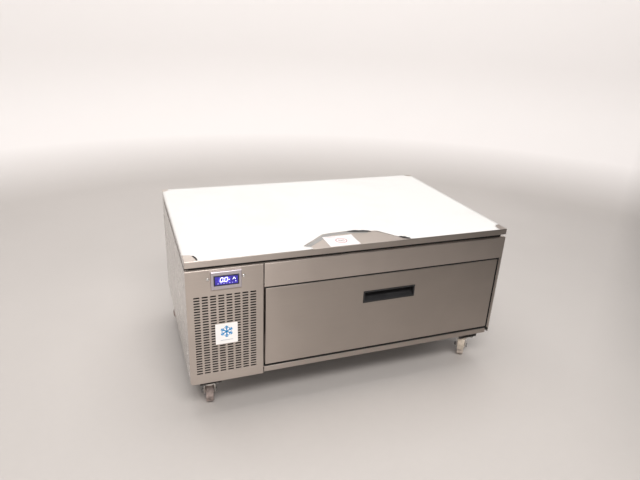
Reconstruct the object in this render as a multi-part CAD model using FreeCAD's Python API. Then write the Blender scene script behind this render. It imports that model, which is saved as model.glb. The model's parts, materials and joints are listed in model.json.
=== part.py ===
import FreeCAD, Part
import math
import os

# Undercounter drawer refrigerator, in millimetres.
# Everything is laid out from the cabinet's front left corner at floor level: X runs right along the
# front, Y runs back and Z runs up. Each piece is moved as it is saved, so that the origin ends up on
# the floor, under the middle of the worktop.

# ---- driving dimensions: overall
WIDTH = 1100.0
DEPTH = 700.0
HEIGHT = 550.0
SHEET = 1.2
FIT = 0.1
RUNNING_FIT = 0.05

# ---- stack of heights
CASTOR_HEIGHT = 104.0
RAIL_HEIGHT = 30.0
TOP_THICKNESS = 20.0
RECESS_HEIGHT = 10.5
FILM = 0.3
BODY_BOTTOM = CASTOR_HEIGHT + RAIL_HEIGHT
WORKTOP_BOTTOM = HEIGHT - TOP_THICKNESS
BODY_TOP = WORKTOP_BOTTOM - RECESS_HEIGHT
ROOF_TOP = BODY_TOP - SHEET - FIT
ROOF_BOTTOM = ROOF_TOP - SHEET
FLOOR_TOP = BODY_BOTTOM + SHEET

# ---- front of the cabinet
ENGINE_WIDTH = 231.0
COVER_GAP = 2.0
COVER_DROP = 5.0
COVER_CORNER = 12.0
FLANGE = 11.0
BEND = 2.4
FASCIA_BOTTOM = 441.5
STRIP_TOP = 153.5
STRIP_RIGHT = 1085.0
STILE_LEFT = 1089.0
STILE_RIGHT = 1096.8
OPENING_LEFT = ENGINE_WIDTH + COVER_GAP + SHEET
OPENING_RIGHT = 1085.8
PANEL_FRONT = SHEET + 0.3
PANEL_BACK = DEPTH - SHEET - 0.2
PAN_FRONT = 15.0
PAN_BACK = PANEL_BACK - 0.2
PARTITION_FRONT = 2 * FLANGE + 1.0
PARTITION_BACK = PAN_BACK - SHEET - 0.2

# ---- drawer
DRAWER_LEFT = 237.0
DRAWER_RIGHT = 1083.0
DRAWER_BOTTOM = 161.0
DRAWER_TOP = 435.5
DRAWER_DEPTH = 30.0
FRAME_SHEET = 2.0
CONTAINER_LEFT = 262.0
CONTAINER_RIGHT = 1058.0
CONTAINER_FRONT = 36.0
CONTAINER_BACK = 676.0
CONTAINER_BOTTOM = 168.2
CONTAINER_TOP = 425.0
CONTAINER_WALL = 53.0
LINER = 1.5
GASKET_WIDTH = 26.0
GASKET_HEIGHT = 6.4
LID_BOTTOM = 432.0
LID_FRONT = 34.0

# ---- handle
HANDLE_LEFT = 566.5
HANDLE_RIGHT = 757.5
HANDLE_BOTTOM = 336.5
HANDLE_TOP = 379.5
HANDLE_RIM = 5.0
HANDLE_PROUD = 1.8

# ---- grille, controller and badge on the engine cover
SLOT_LENGTH = 18.5
SLOT_HEIGHT = 5.0
SLOT_COLUMNS = 8
SLOT_ROWS = 30
SLOT_FIRST_X = 29.5
SLOT_PITCH_X = 24.1
SLOT_FIRST_Z = 167.4
SLOT_PITCH_Z = 9.11
CONTROLLER_X = 117.4
CONTROLLER_Z = 483.5
BEZEL_SIZE = (90.5, 57.0)
BEZEL_PROUD = 6.5
CONTROLLER_FACE = (74.2, 33.0)
CONTROLLER_BODY = (70.0, 28.4)
CONTROLLER_DEPTH = 58.0
CONTROLLER_FRONT = -BEZEL_PROUD - 0.7
DISPLAY_SIZE = (67.0, 26.0)
DISPLAY_SINK = 0.8
DISPLAY_BACK = 2.4
BADGE_BOX = (81.0, 149.0, 264.5, 335.5)
SCREW_HEAD_RADIUS = 5.0
SCREW_HEAD_HEIGHT = 2.4
SCREW_RADIUS = 2.4
SCREW_HOLE = SCREW_RADIUS + FIT
SIDE_SCREW_INSET = 45.0
SIDE_SCREWS = [(y, z) for y in (SIDE_SCREW_INSET, DEPTH - SIDE_SCREW_INSET) for z in (218.0, 452.0)]
COVER_SCREWS = ((64.0, 488.6), (169.6, 488.6))
REAR_SCREWS = ((9.0, 160.0), (9.0, 330.0), (9.0, 500.0), (WIDTH - 9.0, 160.0), (WIDTH - 9.0, 330.0),
               (WIDTH - 9.0, 500.0), (400.0, 500.0), (700.0, 500.0))

# ---- runners: three nested channels on each side
RUNNER_MIDDLE_Z = 205.0
RUNNER_SHEET = 1.5
RUNNER_HEIGHTS = (46.0, 41.6, 37.2)
RUNNER_FRONT = 40.0
RUNNER_BACK = 672.0

# ---- castors
CASTOR_INSET_X = 65.0
CASTOR_INSET_Y = 60.0
CASTOR_TRAIL = 24.0
WHEEL_RADIUS = 37.5
HUB_RADIUS = 27.0
TYRE_WIDTH = 24.0
HUB_WIDTH = 29.0
AXLE_RADIUS = 4.0
LEG_INNER = 16.0
LEG_THICKNESS = 2.5
KINGPIN_RADIUS = 5.0
RACE_RADIUS = 25.0
RACE_BOTTOM = 95.0
CROWN_TOP = 94.5
CROWN_BOTTOM = 85.0
RIVET_GAP = 0.3
PLATE_SIZE = 64.0
PLATE_THICKNESS = 3.0
PLATE_HOLE_OFFSET = 23.0
BOLT_RADIUS = 4.0
PEDAL_PIVOT = (38.0, 79.0)
PEDAL_PIN_RADIUS = 3.0
CHASSIS_RAIL_WIDTH = 70.0
CHASSIS_RAIL_FRONT = 24.0
CHASSIS_WALL = 2.0

# each castor: name, centre of its swivel, and the bearing in which its wheel trails
CASTORS = (
    ("front_left", CASTOR_INSET_X, CASTOR_INSET_Y, 82.0),
    ("front_right", WIDTH - CASTOR_INSET_X, CASTOR_INSET_Y, 51.0),
    ("rear_left", CASTOR_INSET_X, DEPTH - CASTOR_INSET_Y, 205.0),
    ("rear_right", WIDTH - CASTOR_INSET_X, DEPTH - CASTOR_INSET_Y, 160.0),
)

# ---- engine bay and cooling
COIL_BOX = ((22.0, 212.0), (40.0, 80.0), (165.0, 385.0))
FAN_CENTRE = (117.0, 275.0)
FAN_RADIUS = 76.0
FAN_Y = 104.0
SHROUD_BACK = 122.0
MOTOR_FRONT = 142.0
MOTOR_BACK = 190.0
MOTOR_RADIUS = 30.0
SHAFT_RADIUS = 4.0
COMPRESSOR_CENTRE = (117.0, 330.0)
COMPRESSOR_RADIUS = 78.0
COMPRESSOR_FOOT_Z = 150.0
COMPRESSOR_TOP_Z = 335.0
DRIER_CENTRE = (60.0, 450.0)
DRIER_Z = (220.0, 330.0)
WELL_X = (400.0, 960.0)
WELL_Y = (150.0, 560.0)
WELL_TOP = 492.0
COLD_FAN_CENTRE = (860.0, 350.0)
COLD_FAN_RADIUS = 58.0
PIPE_RADIUS = 4.0
CAPILLARY_RADIUS = 2.0
PIPE_Z = 464.0
SUCTION_Y = 470.0
INLET_X = 60.0
INLET_Z = 196.0


# ---- shape helpers

def vec(x, y, z):
    return FreeCAD.Vector(x, y, z)


def block(x, y, z):
    """A box from three (low, high) pairs."""
    return Part.makeBox(x[1] - x[0], y[1] - y[0], z[1] - z[0], vec(x[0], y[0], z[0]))


def rod(centre, axis, radius, length):
    """A cylinder that starts at centre and runs along axis."""
    return Part.makeCylinder(radius, length, vec(*centre), vec(*axis))


def fuse(shapes):
    """One clean solid from shapes that touch or cross."""
    whole = shapes[0].multiFuse(shapes[1:])
    return whole.removeSplitter()


def cut(shape, tools):
    return shape.cut(Part.makeCompound(tools))


def inset(pair, amount):
    return (pair[0] + amount, pair[1] - amount)


def prism_yz(points, x):
    """A polygon of (y, z) points, carried along X over the (low, high) pair."""
    corners = [vec(x[0], y, z) for y, z in points]
    face = Part.Face(Part.makePolygon(corners + corners[:1]))
    return face.extrude(vec(x[1] - x[0], 0, 0))


def prism_xy(points, z):
    """A polygon of (x, y) points, carried along Z over the (low, high) pair."""
    corners = [vec(x, y, z[0]) for x, y in points]
    face = Part.Face(Part.makePolygon(corners + corners[:1]))
    return face.extrude(vec(0, 0, z[1] - z[0]))


def slot_wire(x, z, length, height, y):
    """A round-ended slot in the plane of constant y, centred on x and z."""
    r = height / 2
    half = length / 2 - r
    right = Part.Arc(vec(x + half, y, z - r), vec(x + half + r, y, z), vec(x + half, y, z + r))
    left = Part.Arc(vec(x - half, y, z + r), vec(x - half - r, y, z), vec(x - half, y, z - r))
    top = Part.LineSegment(vec(x + half, y, z + r), vec(x - half, y, z + r))
    bottom = Part.LineSegment(vec(x - half, y, z - r), vec(x + half, y, z - r))
    return Part.Wire([e.toShape() for e in (right, top, left, bottom)])


def rectangle_wire(x, z, y):
    """A rectangle in the plane of constant y, from (low, high) pairs in x and z."""
    corners = [vec(x[0], y, z[0]), vec(x[1], y, z[0]), vec(x[1], y, z[1]), vec(x[0], y, z[1])]
    return Part.makePolygon(corners + corners[:1])


def circle_wire(x, z, y, radius):
    return Part.Wire([Part.makeCircle(radius, vec(x, y, z), vec(0, 1, 0))])


def pierced_plate(outline, holes, thickness):
    """A plate in the XZ plane with holes through it, from wires, carried back along Y."""
    face = Part.Face([outline] + holes)
    face.validate()
    return face.extrude(vec(0, thickness, 0))


def edges_at(shape, test):
    """The edges whose every vertex passes the test."""
    return [e for e in shape.Edges if all(test(v.Point) for v in e.Vertexes)]


def close_to(a, b):
    return abs(a - b) < 1e-4


def on_front_at(x=None, z=None):
    """A test for points on the cabinet's front face, at one distance across it or one height."""
    return lambda p: close_to(p.y, 0) and (close_to(p.x, x) if z is None else close_to(p.z, z))


def edges_along(shape, axis):
    """The straight edges of a box that run along axis, 0 for X, 1 for Y and 2 for Z."""
    others = [i for i in range(3) if i != axis]
    found = []
    for e in shape.Edges:
        a, b = e.Vertexes[0].Point, e.Vertexes[-1].Point
        if all(close_to(a[i], b[i]) for i in others):
            found.append(e)
    return found


def rims(shape):
    """The full circles that bound a cylinder's ends."""
    return [e for e in shape.Edges if len(e.Vertexes) == 1]


def bent_tube(points, radius, bend):
    """A round tube along straight runs that meet at right angles, joined by tangent arcs."""
    knots = [vec(*p) for p in points]
    edges = []
    start = knots[0]
    for before, corner, after in zip(knots, knots[1:], knots[2:]):
        into = (corner - before).normalize()
        out = (after - corner).normalize()
        first = corner - into * bend
        last = corner + out * bend
        centre = first + out * bend
        middle = centre + (corner - centre).normalize() * bend
        edges.append(Part.LineSegment(start, first).toShape())
        edges.append(Part.Arc(first, middle, last).toShape())
        start = last
    edges.append(Part.LineSegment(start, knots[-1]).toShape())
    path = Part.Wire(edges)
    ring = Part.Wire([Part.makeCircle(radius, knots[0], (knots[1] - knots[0]).normalize())])
    return path.makePipeShell([ring], True, False)


def heat_exchanger_core(x, y, z, columns, rows, wall):
    """A block of fins and flat tubes: a grid of air passages that runs straight through along Y."""
    cell_x = (x[1] - x[0] - wall) / columns
    cell_z = (z[1] - z[0] - wall) / rows
    holes = []
    for i in range(columns):
        for j in range(rows):
            left = x[0] + wall + i * cell_x
            low = z[0] + wall + j * cell_z
            holes.append(rectangle_wire((left, left + cell_x - wall), (low, low + cell_z - wall), y[0]))
    return pierced_plate(rectangle_wire(x, z, y[0]), holes, y[1] - y[0])


def fan_rotor(radius, hub_radius, hub_height, blades, pitch, bore=None):
    """A fan about the Z axis, with its hub centred on the origin."""
    hub = Part.makeCylinder(hub_radius, hub_height, vec(0, 0, -hub_height / 2))
    pieces = [hub.makeFillet(2.0, edges_at(hub, lambda p: close_to(p.z, hub_height / 2)))]
    chord = radius * 0.52
    for i in range(blades):
        blade = block((hub_radius - 3, radius - 1), (-chord / 2, chord / 2), (-0.8, 0.8))
        tip = edges_at(blade, lambda p: close_to(p.x, radius - 1))
        corners = [e for e in tip if close_to(e.Vertexes[0].Z, -e.Vertexes[1].Z)]
        blade = blade.makeFillet(chord * 0.24, corners)
        blade.rotate(vec(0, 0, 0), vec(1, 0, 0), pitch)
        blade.rotate(vec(0, 0, 0), vec(0, 0, 1), 360.0 / blades * i)
        pieces.append(blade)
    rotor = fuse(pieces)
    if bore:
        rotor = rotor.cut(Part.makeCylinder(bore, hub_height + 2, vec(0, 0, -hub_height / 2 - 1)))
    return rotor


def hexagon(centre, axis, across_flats, length):
    """A hexagon bar that starts at centre and runs along axis."""
    radius = across_flats / math.sqrt(3)
    corners = [vec(radius * math.cos(math.radians(60 * i)), radius * math.sin(math.radians(60 * i)), 0)
               for i in range(6)]
    bar = Part.Face(Part.makePolygon(corners + corners[:1])).extrude(vec(0, 0, length))
    bar.Placement = FreeCAD.Placement(vec(*centre), FreeCAD.Rotation(vec(0, 0, 1), vec(*axis)))
    return bar


# ---- worktop

def worktop_skin():
    """A tray turned upside down: the top, its turned-down edges and a fold back underneath."""
    z = (WORKTOP_BOTTOM, HEIGHT)
    outer = block((0, WIDTH), (0, DEPTH), z)
    rounded = [e for e in outer.Edges if max(v.Z for v in e.Vertexes) > HEIGHT - 1e-3]
    outer = outer.makeFillet(2.0, rounded)
    hollow = block((SHEET, WIDTH - SHEET), (SHEET, DEPTH - SHEET), inset(z, SHEET))
    fold = 16.0
    mouth = block(inset((0, WIDTH), fold), inset((0, DEPTH), fold), (z[0] - 1, z[0] + SHEET + 1))
    return [cut(outer, [hollow, mouth])]


def worktop_core():
    side = SHEET + 1.0
    return [block(inset((0, WIDTH), side), inset((0, DEPTH), side), inset((WORKTOP_BOTTOM, HEIGHT), SHEET))]


def worktop_film():
    """The film's outline: cut back at the four corners and torn away at the front."""
    tear = [(385, 0), (385, 15), (363, 27), (450, 102), (480, 108), (540, 113), (615, 98),
            (640, 93), (670, 55), (690, 30), (710, 10), (720, 0)]
    right = [(1070, 0), (1074, 30), (1085, 42), (WIDTH, 47), (WIDTH, 675), (1080, 680), (1068, DEPTH)]
    left = [(25, DEPTH), (18, 680), (0, 665), (0, 50), (22, 46), (36, 28), (38, 0)]
    return [prism_xy(tear + right + left, (HEIGHT, HEIGHT + FILM))]


def worktop_spacer():
    """Four boards under the worktop, set back a little at the front and back and further at the sides."""
    back = 12.0
    side = 45.0
    board = 60.0
    z = (ROOF_TOP, WORKTOP_BOTTOM)
    boards = []
    for y in ((back, back + board), (DEPTH - back - board, DEPTH - back)):
        boards.append(block(inset((0, WIDTH), back), y, z))
    for x in ((side, side + board), (WIDTH - side - board, WIDTH - side)):
        boards.append(block(x, inset((0, DEPTH), back + board), z))
    return boards


# ---- cabinet panels

def side_screw_holes(x):
    return [rod((x, y, z), (1, 0, 0), SCREW_HOLE, 4.0 * SHEET) for y, z in SIDE_SCREWS]


def top_notch():
    """The (y, z) corners of a side's top front, cut clear of the fold that comes over it."""
    under = BODY_TOP - SHEET - 0.2
    return [(FLANGE + 0.4, BODY_TOP), (FLANGE + 0.4, under), (PANEL_FRONT, under)]


def side_panel_left():
    """The left side: a flat sheet with a fold inward along its top, notched under the cover's own fold."""
    profile = [(PANEL_FRONT, BODY_BOTTOM), (PANEL_BACK, BODY_BOTTOM), (PANEL_BACK, BODY_TOP)] + top_notch()
    wall = prism_yz(profile, (0, SHEET))
    fold = block((0, FLANGE), (FLANGE + 1, PANEL_BACK), (BODY_TOP - SHEET, BODY_TOP))
    return [cut(fuse([wall, fold]), side_screw_holes(-SHEET))]


def side_panel_right():
    """The right side: its front edge is hemmed back on itself beside the drawer opening."""
    under_fascia = FASCIA_BOTTOM - 0.4
    profile = [(0, BODY_BOTTOM), (PANEL_BACK, BODY_BOTTOM), (PANEL_BACK, BODY_TOP)] + top_notch()
    profile += [(PANEL_FRONT, under_fascia), (0, under_fascia)]
    wall = prism_yz(profile, (WIDTH - SHEET, WIDTH))
    hem = block((WIDTH - 2.4 * SHEET, WIDTH - SHEET), (0, 14.0), (BODY_BOTTOM + SHEET, under_fascia))
    fold = block((WIDTH - FLANGE, WIDTH), (FLANGE + 1, PANEL_BACK), (BODY_TOP - SHEET, BODY_TOP))
    holes = side_screw_holes(WIDTH - 3.0 * SHEET)
    return [cut(fuse([wall, hem, fold]), holes)]


def rear_panel():
    """The back, with slots that let the engine bay's air out and a cut-out for the mains inlet."""
    slots = []
    for i in range(4):
        for j in range(16):
            slots.append(slot_wire(50 + 44 * i, 252 + 14 * j, 34.0, 5.0, DEPTH - SHEET))
    inlet = rectangle_wire((INLET_X - 14.4, INLET_X + 14.4), (INLET_Z - 11.4, INLET_Z + 11.4), DEPTH - SHEET)
    screws = [circle_wire(x, z, DEPTH - SHEET, SCREW_HOLE) for x, z in REAR_SCREWS]
    outline = rectangle_wire((0, WIDTH), (BODY_BOTTOM, BODY_TOP), DEPTH - SHEET)
    return [pierced_plate(outline, slots + [inlet] + screws, SHEET)]


def base_pan():
    """The floor of the cabinet, turned up at both sides and the back, with air slots in the engine bay."""
    x = (SHEET + 0.2, WIDTH - SHEET - 0.2)
    y = (PAN_FRONT, PAN_BACK)
    upstand = 16.0
    tray = block(x, y, (BODY_BOTTOM, BODY_BOTTOM + upstand))
    hollow = block(inset(x, SHEET), (y[0] - 1, y[1] - SHEET), (FLOOR_TOP, BODY_BOTTOM + upstand + 1))
    through = (BODY_BOTTOM - 1, FLOOR_TOP + 1)
    slots = [block((40, 200), (front, front + 8), through) for front in (430, 450)]
    return [cut(tray, [hollow] + slots)]


def roof_panel():
    x = (SHEET + 0.2, WIDTH - SHEET - 0.2)
    return [block(x, (PAN_FRONT - 3.0, PAN_BACK), (ROOF_BOTTOM, ROOF_TOP))]


def engine_partition():
    """The wall between the engine bay and the drawer, with an opening for the cold pipes."""
    x = (OPENING_LEFT - SHEET, OPENING_LEFT)
    y = (PARTITION_FRONT, PARTITION_BACK)
    wall = block(x, y, (FLOOR_TOP, ROOF_BOTTOM))
    foot = block((x[0] - 18.0, x[1]), inset(y, 4.0), (FLOOR_TOP, FLOOR_TOP + SHEET))
    opening = block(inset(x, -2), (SUCTION_Y - 40, SUCTION_Y + 20), (PIPE_Z - 16, PIPE_Z + 16))
    return [cut(fuse([wall, foot]), [opening])]


def fascia_panel():
    """The band across the front above the drawer: a channel that opens to the back."""
    left = ENGINE_WIDTH + COVER_GAP
    right = WIDTH - SHEET - 0.2
    face = block((left, WIDTH), (0, SHEET), (FASCIA_BOTTOM, BODY_TOP))
    top = block((left, WIDTH), (0, FLANGE), (BODY_TOP - SHEET, BODY_TOP))
    bottom = block((left, right), (0, 2 * FLANGE), (FASCIA_BOTTOM, FASCIA_BOTTOM + SHEET))
    panel = fuse([face, top, bottom])
    return [panel.makeFillet(BEND, edges_at(panel, on_front_at(z=BODY_TOP)))]


def drawer_surround():
    """The strip under the drawer and the narrow stile on its right."""
    depth = 2 * FLANGE
    x = (ENGINE_WIDTH + COVER_GAP, STRIP_RIGHT)
    strip = fuse([
        block(x, (0, SHEET), (BODY_BOTTOM, STRIP_TOP)),
        block(x, (0, depth), (STRIP_TOP - SHEET, STRIP_TOP)),
        block(x, (depth - SHEET, depth), (FLOOR_TOP + FIT, STRIP_TOP)),
    ])
    strip = strip.makeFillet(BEND, edges_at(strip, on_front_at(z=STRIP_TOP)))
    z = (STRIP_TOP + FIT, FASCIA_BOTTOM - FIT)
    stile = fuse([
        block((STILE_LEFT, STILE_RIGHT), (0, SHEET), z),
        block((STILE_LEFT, STILE_LEFT + SHEET), (0, DRAWER_DEPTH), z),
        block((STILE_LEFT, STILE_LEFT + SHEET), (depth, DRAWER_DEPTH), (FLOOR_TOP + FIT, STRIP_TOP + SHEET)),
    ])
    return [strip, stile]


# ---- engine cover and what it carries

def engine_cover():
    """The cover on the left: a sheet with rows of slots, folded back at its top, right and bottom."""
    low = BODY_BOTTOM - COVER_DROP
    r = COVER_CORNER
    corner = Part.Arc(vec(0, 0, low + r), vec(r - r * math.sqrt(0.5), 0, low + r - r * math.sqrt(0.5)),
                      vec(r, 0, low))
    points = [vec(r, 0, low), vec(ENGINE_WIDTH, 0, low), vec(ENGINE_WIDTH, 0, BODY_TOP), vec(0, 0, BODY_TOP),
              vec(0, 0, low + r)]
    sides = [Part.LineSegment(a, b).toShape() for a, b in zip(points, points[1:])]
    outline = Part.Wire([corner.toShape()] + sides)
    holes = []
    for i in range(SLOT_COLUMNS):
        for j in range(SLOT_ROWS):
            x = SLOT_FIRST_X + SLOT_PITCH_X * i
            z = SLOT_FIRST_Z + SLOT_PITCH_Z * j
            holes.append(slot_wire(x, z, SLOT_LENGTH, SLOT_HEIGHT, 0))
    half_x = CONTROLLER_BODY[0] / 2 + 0.4
    half_z = CONTROLLER_BODY[1] / 2 + 0.4
    holes.append(rectangle_wire((CONTROLLER_X - half_x, CONTROLLER_X + half_x),
                                (CONTROLLER_Z - half_z, CONTROLLER_Z + half_z), 0))
    holes.extend(circle_wire(x, z, 0, SCREW_HOLE) for x, z in COVER_SCREWS)
    face = pierced_plate(outline, holes, SHEET)
    top = block((0, ENGINE_WIDTH), (0, FLANGE), (BODY_TOP - SHEET, BODY_TOP))
    right = block((ENGINE_WIDTH - SHEET, ENGINE_WIDTH), (0, FLANGE), (low, BODY_TOP))
    bottom = block((2 * r, ENGINE_WIDTH), (0, FLANGE), (low, low + SHEET))
    cover = fuse([face, top, right, bottom])
    folds = edges_at(cover, on_front_at(z=BODY_TOP)) + edges_at(cover, on_front_at(x=ENGINE_WIDTH))
    return [cover.makeFillet(BEND, folds)]


def cover_badge():
    x0, x1, z0, z1 = BADGE_BOX
    badge = block((x0, x1), (-1.0, 0), (z0, z1))
    return [badge.makeFillet(2.0, edges_along(badge, 1))]


def centred(middle, size):
    return (middle - size / 2, middle + size / 2)


def controller_bezel():
    """A pressed frame that stands proud of the cover around the controller."""
    x = centred(CONTROLLER_X, BEZEL_SIZE[0])
    z = centred(CONTROLLER_Z, BEZEL_SIZE[1])
    frame = block(x, (-BEZEL_PROUD, 0), z)
    frame = frame.makeFillet(2.5, edges_at(frame, lambda p: close_to(p.y, -BEZEL_PROUD)))
    hollow = block(inset(x, SHEET), (-BEZEL_PROUD + SHEET, 1), inset(z, SHEET))
    window = block(centred(CONTROLLER_X, CONTROLLER_FACE[0] + 0.4), (-BEZEL_PROUD - 1, 0),
                   centred(CONTROLLER_Z, CONTROLLER_FACE[1] + 0.4))
    return [cut(frame, [hollow, window])]


def controller_body():
    """The controller's plastic housing: a front frame and a case that goes back through the cover."""
    front = CONTROLLER_FRONT
    frame = block(centred(CONTROLLER_X, CONTROLLER_FACE[0]), (front, -1.0),
                  centred(CONTROLLER_Z, CONTROLLER_FACE[1]))
    frame = frame.makeFillet(0.6, edges_at(frame, lambda p: close_to(p.y, front)))
    case = block(centred(CONTROLLER_X, CONTROLLER_BODY[0]), (-1.5, CONTROLLER_DEPTH),
                 centred(CONTROLLER_Z, CONTROLLER_BODY[1]))
    pocket = block(centred(CONTROLLER_X, DISPLAY_SIZE[0]), (front - 1, front + DISPLAY_BACK),
                   centred(CONTROLLER_Z, DISPLAY_SIZE[1]))
    return [cut(fuse([frame, case]), [pocket])]


def controller_display():
    x = centred(CONTROLLER_X, DISPLAY_SIZE[0] - 0.2)
    y = (CONTROLLER_FRONT + DISPLAY_SINK, CONTROLLER_FRONT + DISPLAY_BACK)
    z = centred(CONTROLLER_Z, DISPLAY_SIZE[1] - 0.2)
    return [block(x, y, z)]


def domed_screw(head, inward):
    """A screw whose domed head stands on a face at the point head, with its shank going inward."""
    top = Part.makeCylinder(SCREW_HEAD_RADIUS, SCREW_HEAD_HEIGHT)
    top = top.makeFillet(2.1, edges_at(top, lambda p: close_to(p.z, SCREW_HEAD_HEIGHT)))
    shank = Part.makeCylinder(SCREW_RADIUS, 9.0, vec(0, 0, -9.0))
    screw = fuse([top, shank])
    outward = vec(*inward) * -1
    screw.Placement = FreeCAD.Placement(vec(*head), FreeCAD.Rotation(vec(0, 0, 1), outward))
    return screw


def panel_screws():
    screws = [domed_screw((x, 0, z), (0, 1, 0)) for x, z in COVER_SCREWS]
    screws += [domed_screw((0, y, z), (1, 0, 0)) for y, z in SIDE_SCREWS]
    screws += [domed_screw((WIDTH, y, z), (-1, 0, 0)) for y, z in SIDE_SCREWS]
    screws += [domed_screw((x, DEPTH, z), (0, -1, 0)) for x, z in REAR_SCREWS]
    return screws


# ---- chassis and castors

def bolt_places(x, y):
    d = PLATE_HOLE_OFFSET
    return [(x + i * d, y + j * d) for i in (-1, 1) for j in (-1, 1)]


def chassis_rails():
    """Two flat tubes, from front to back, that carry the cabinet and are drilled for the castors' bolts."""
    rails = []
    half = CHASSIS_RAIL_WIDTH / 2
    span = (CHASSIS_RAIL_FRONT, DEPTH - CHASSIS_RAIL_FRONT)
    for x in (CASTOR_INSET_X, WIDTH - CASTOR_INSET_X):
        outer = block((x - half, x + half), span, (CASTOR_HEIGHT, BODY_BOTTOM))
        inner = block(inset((x - half, x + half), CHASSIS_WALL), inset(span, -1),
                      inset((CASTOR_HEIGHT, BODY_BOTTOM), CHASSIS_WALL))
        holes = []
        for _, cx, cy, _ in CASTORS:
            if close_to(cx, x):
                holes += [rod((px, py, CASTOR_HEIGHT - 1), (0, 0, 1), BOLT_RADIUS + FIT, CHASSIS_WALL + 2)
                          for px, py in bolt_places(cx, cy)]
        rails.append(cut(outer, [inner] + holes))
    return rails


def castor_plates():
    """Each castor's top plate, with the upper half of its swivel race and the kingpin."""
    plates = []
    for _, x, y, _ in CASTORS:
        top = CASTOR_HEIGHT - PLATE_THICKNESS
        half = PLATE_SIZE / 2
        plate = block((x - half, x + half), (y - half, y + half), (top, CASTOR_HEIGHT))
        plate = plate.makeFillet(6.0, edges_along(plate, 2))
        race = Part.makeCone(RACE_RADIUS - 3, RACE_RADIUS, top - RACE_BOTTOM, vec(x, y, RACE_BOTTOM))
        pin = rod((x, y, CROWN_BOTTOM - 4), (0, 0, 1), KINGPIN_RADIUS, top - CROWN_BOTTOM + 4)
        rivet = rod((x, y, CROWN_BOTTOM - RIVET_GAP - 3.4), (0, 0, 1), 8.5, 3.4)
        rivet = rivet.makeFillet(1.5, edges_at(rivet, lambda p: p.z < CROWN_BOTTOM - RIVET_GAP - 3))
        holes = [rod((px, py, top - 1), (0, 0, 1), BOLT_RADIUS + FIT, PLATE_THICKNESS + 2)
                 for px, py in bolt_places(x, y)]
        plates.append(cut(fuse([plate, race, pin, rivet]), holes))
    return plates


def castor_bolts():
    """Hexagon bolts up through each plate into a nut inside the rail."""
    bolts = []
    plate_bottom = CASTOR_HEIGHT - PLATE_THICKNESS
    rail_floor = CASTOR_HEIGHT + CHASSIS_WALL
    for _, cx, cy, _ in CASTORS:
        for x, y in bolt_places(cx, cy):
            head = hexagon((x, y, plate_bottom - 5.0), (0, 0, 1), 13.0, 5.0)
            shank = rod((x, y, plate_bottom - 1), (0, 0, 1), BOLT_RADIUS, 18.0)
            nut = hexagon((x, y, rail_floor), (0, 0, 1), 13.0, 6.5)
            bolts.append(fuse([head, shank, nut]))
    return bolts


def place_castor(shape, castor):
    """Turn a shape from the castor's own frame, where its wheel trails along X, to its place."""
    _, x, y, bearing = castor
    shape.rotate(vec(0, 0, 0), vec(0, 0, 1), bearing)
    shape.translate(vec(x, y, 0))
    return shape


def leg_outline(braked):
    """The side view of one fork leg, as (x, z) edges from the crown round the axle and back."""
    r = 11.0
    top = CROWN_BOTTOM + LEG_THICKNESS
    centre = (CASTOR_TRAIL, WHEEL_RADIUS)
    back_top = PEDAL_PIVOT[0] + 7.0 if braked else 33.0
    points = [vec(centre[0] + r, 0, centre[1]), vec(back_top, 0, top - 10), vec(back_top - 4, 0, top),
              vec(-15, 0, top), vec(-17, 0, top - 8), vec(centre[0] - r, 0, centre[1])]
    sides = [Part.LineSegment(a, b).toShape() for a, b in zip(points, points[1:])]
    round_end = Part.Arc(points[-1], vec(centre[0], 0, centre[1] - r), points[0])
    return Part.Wire(sides + [round_end.toShape()])


def castor_fork(castor):
    """The swivelling fork: a cupped crown on the kingpin, two legs, and the axle bolt through them."""
    braked = castor[0].startswith("front")
    pieces = [Part.makeCone(19.0, RACE_RADIUS - 1, CROWN_TOP - CROWN_BOTTOM, vec(0, 0, CROWN_BOTTOM))]
    reach = LEG_INNER + LEG_THICKNESS
    back = 26.0
    pieces.append(block((-15.0, back), (-reach, reach), (CROWN_BOTTOM, CROWN_BOTTOM + LEG_THICKNESS)))
    for side in (-reach, LEG_INNER):
        leg = Part.Face(leg_outline(braked)).extrude(vec(0, LEG_THICKNESS, 0))
        leg.translate(vec(0, side, 0))
        pieces.append(leg)
    fork = fuse(pieces)
    holes = [rod((0, 0, CROWN_BOTTOM - 1), (0, 0, 1), KINGPIN_RADIUS + RUNNING_FIT, 12.0)]
    holes.append(rod((CASTOR_TRAIL, -reach - 1, WHEEL_RADIUS), (0, 1, 0), AXLE_RADIUS + FIT, 2 * reach + 2))
    if braked:
        holes.append(rod((PEDAL_PIVOT[0], -reach - 1, PEDAL_PIVOT[1]), (0, 1, 0),
                         PEDAL_PIN_RADIUS + RUNNING_FIT, 2 * reach + 2))
    fork = cut(fork, holes)
    shank = rod((CASTOR_TRAIL, -reach - 1, WHEEL_RADIUS), (0, 1, 0), AXLE_RADIUS, 2 * reach + 9)
    head = hexagon((CASTOR_TRAIL, -reach, WHEEL_RADIUS), (0, -1, 0), 13.0, 5.0)
    nut = hexagon((CASTOR_TRAIL, reach, WHEEL_RADIUS), (0, 1, 0), 13.0, 6.5)
    axle = fuse([shank, head, nut])
    return [place_castor(fork, castor), place_castor(axle, castor)]


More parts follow.
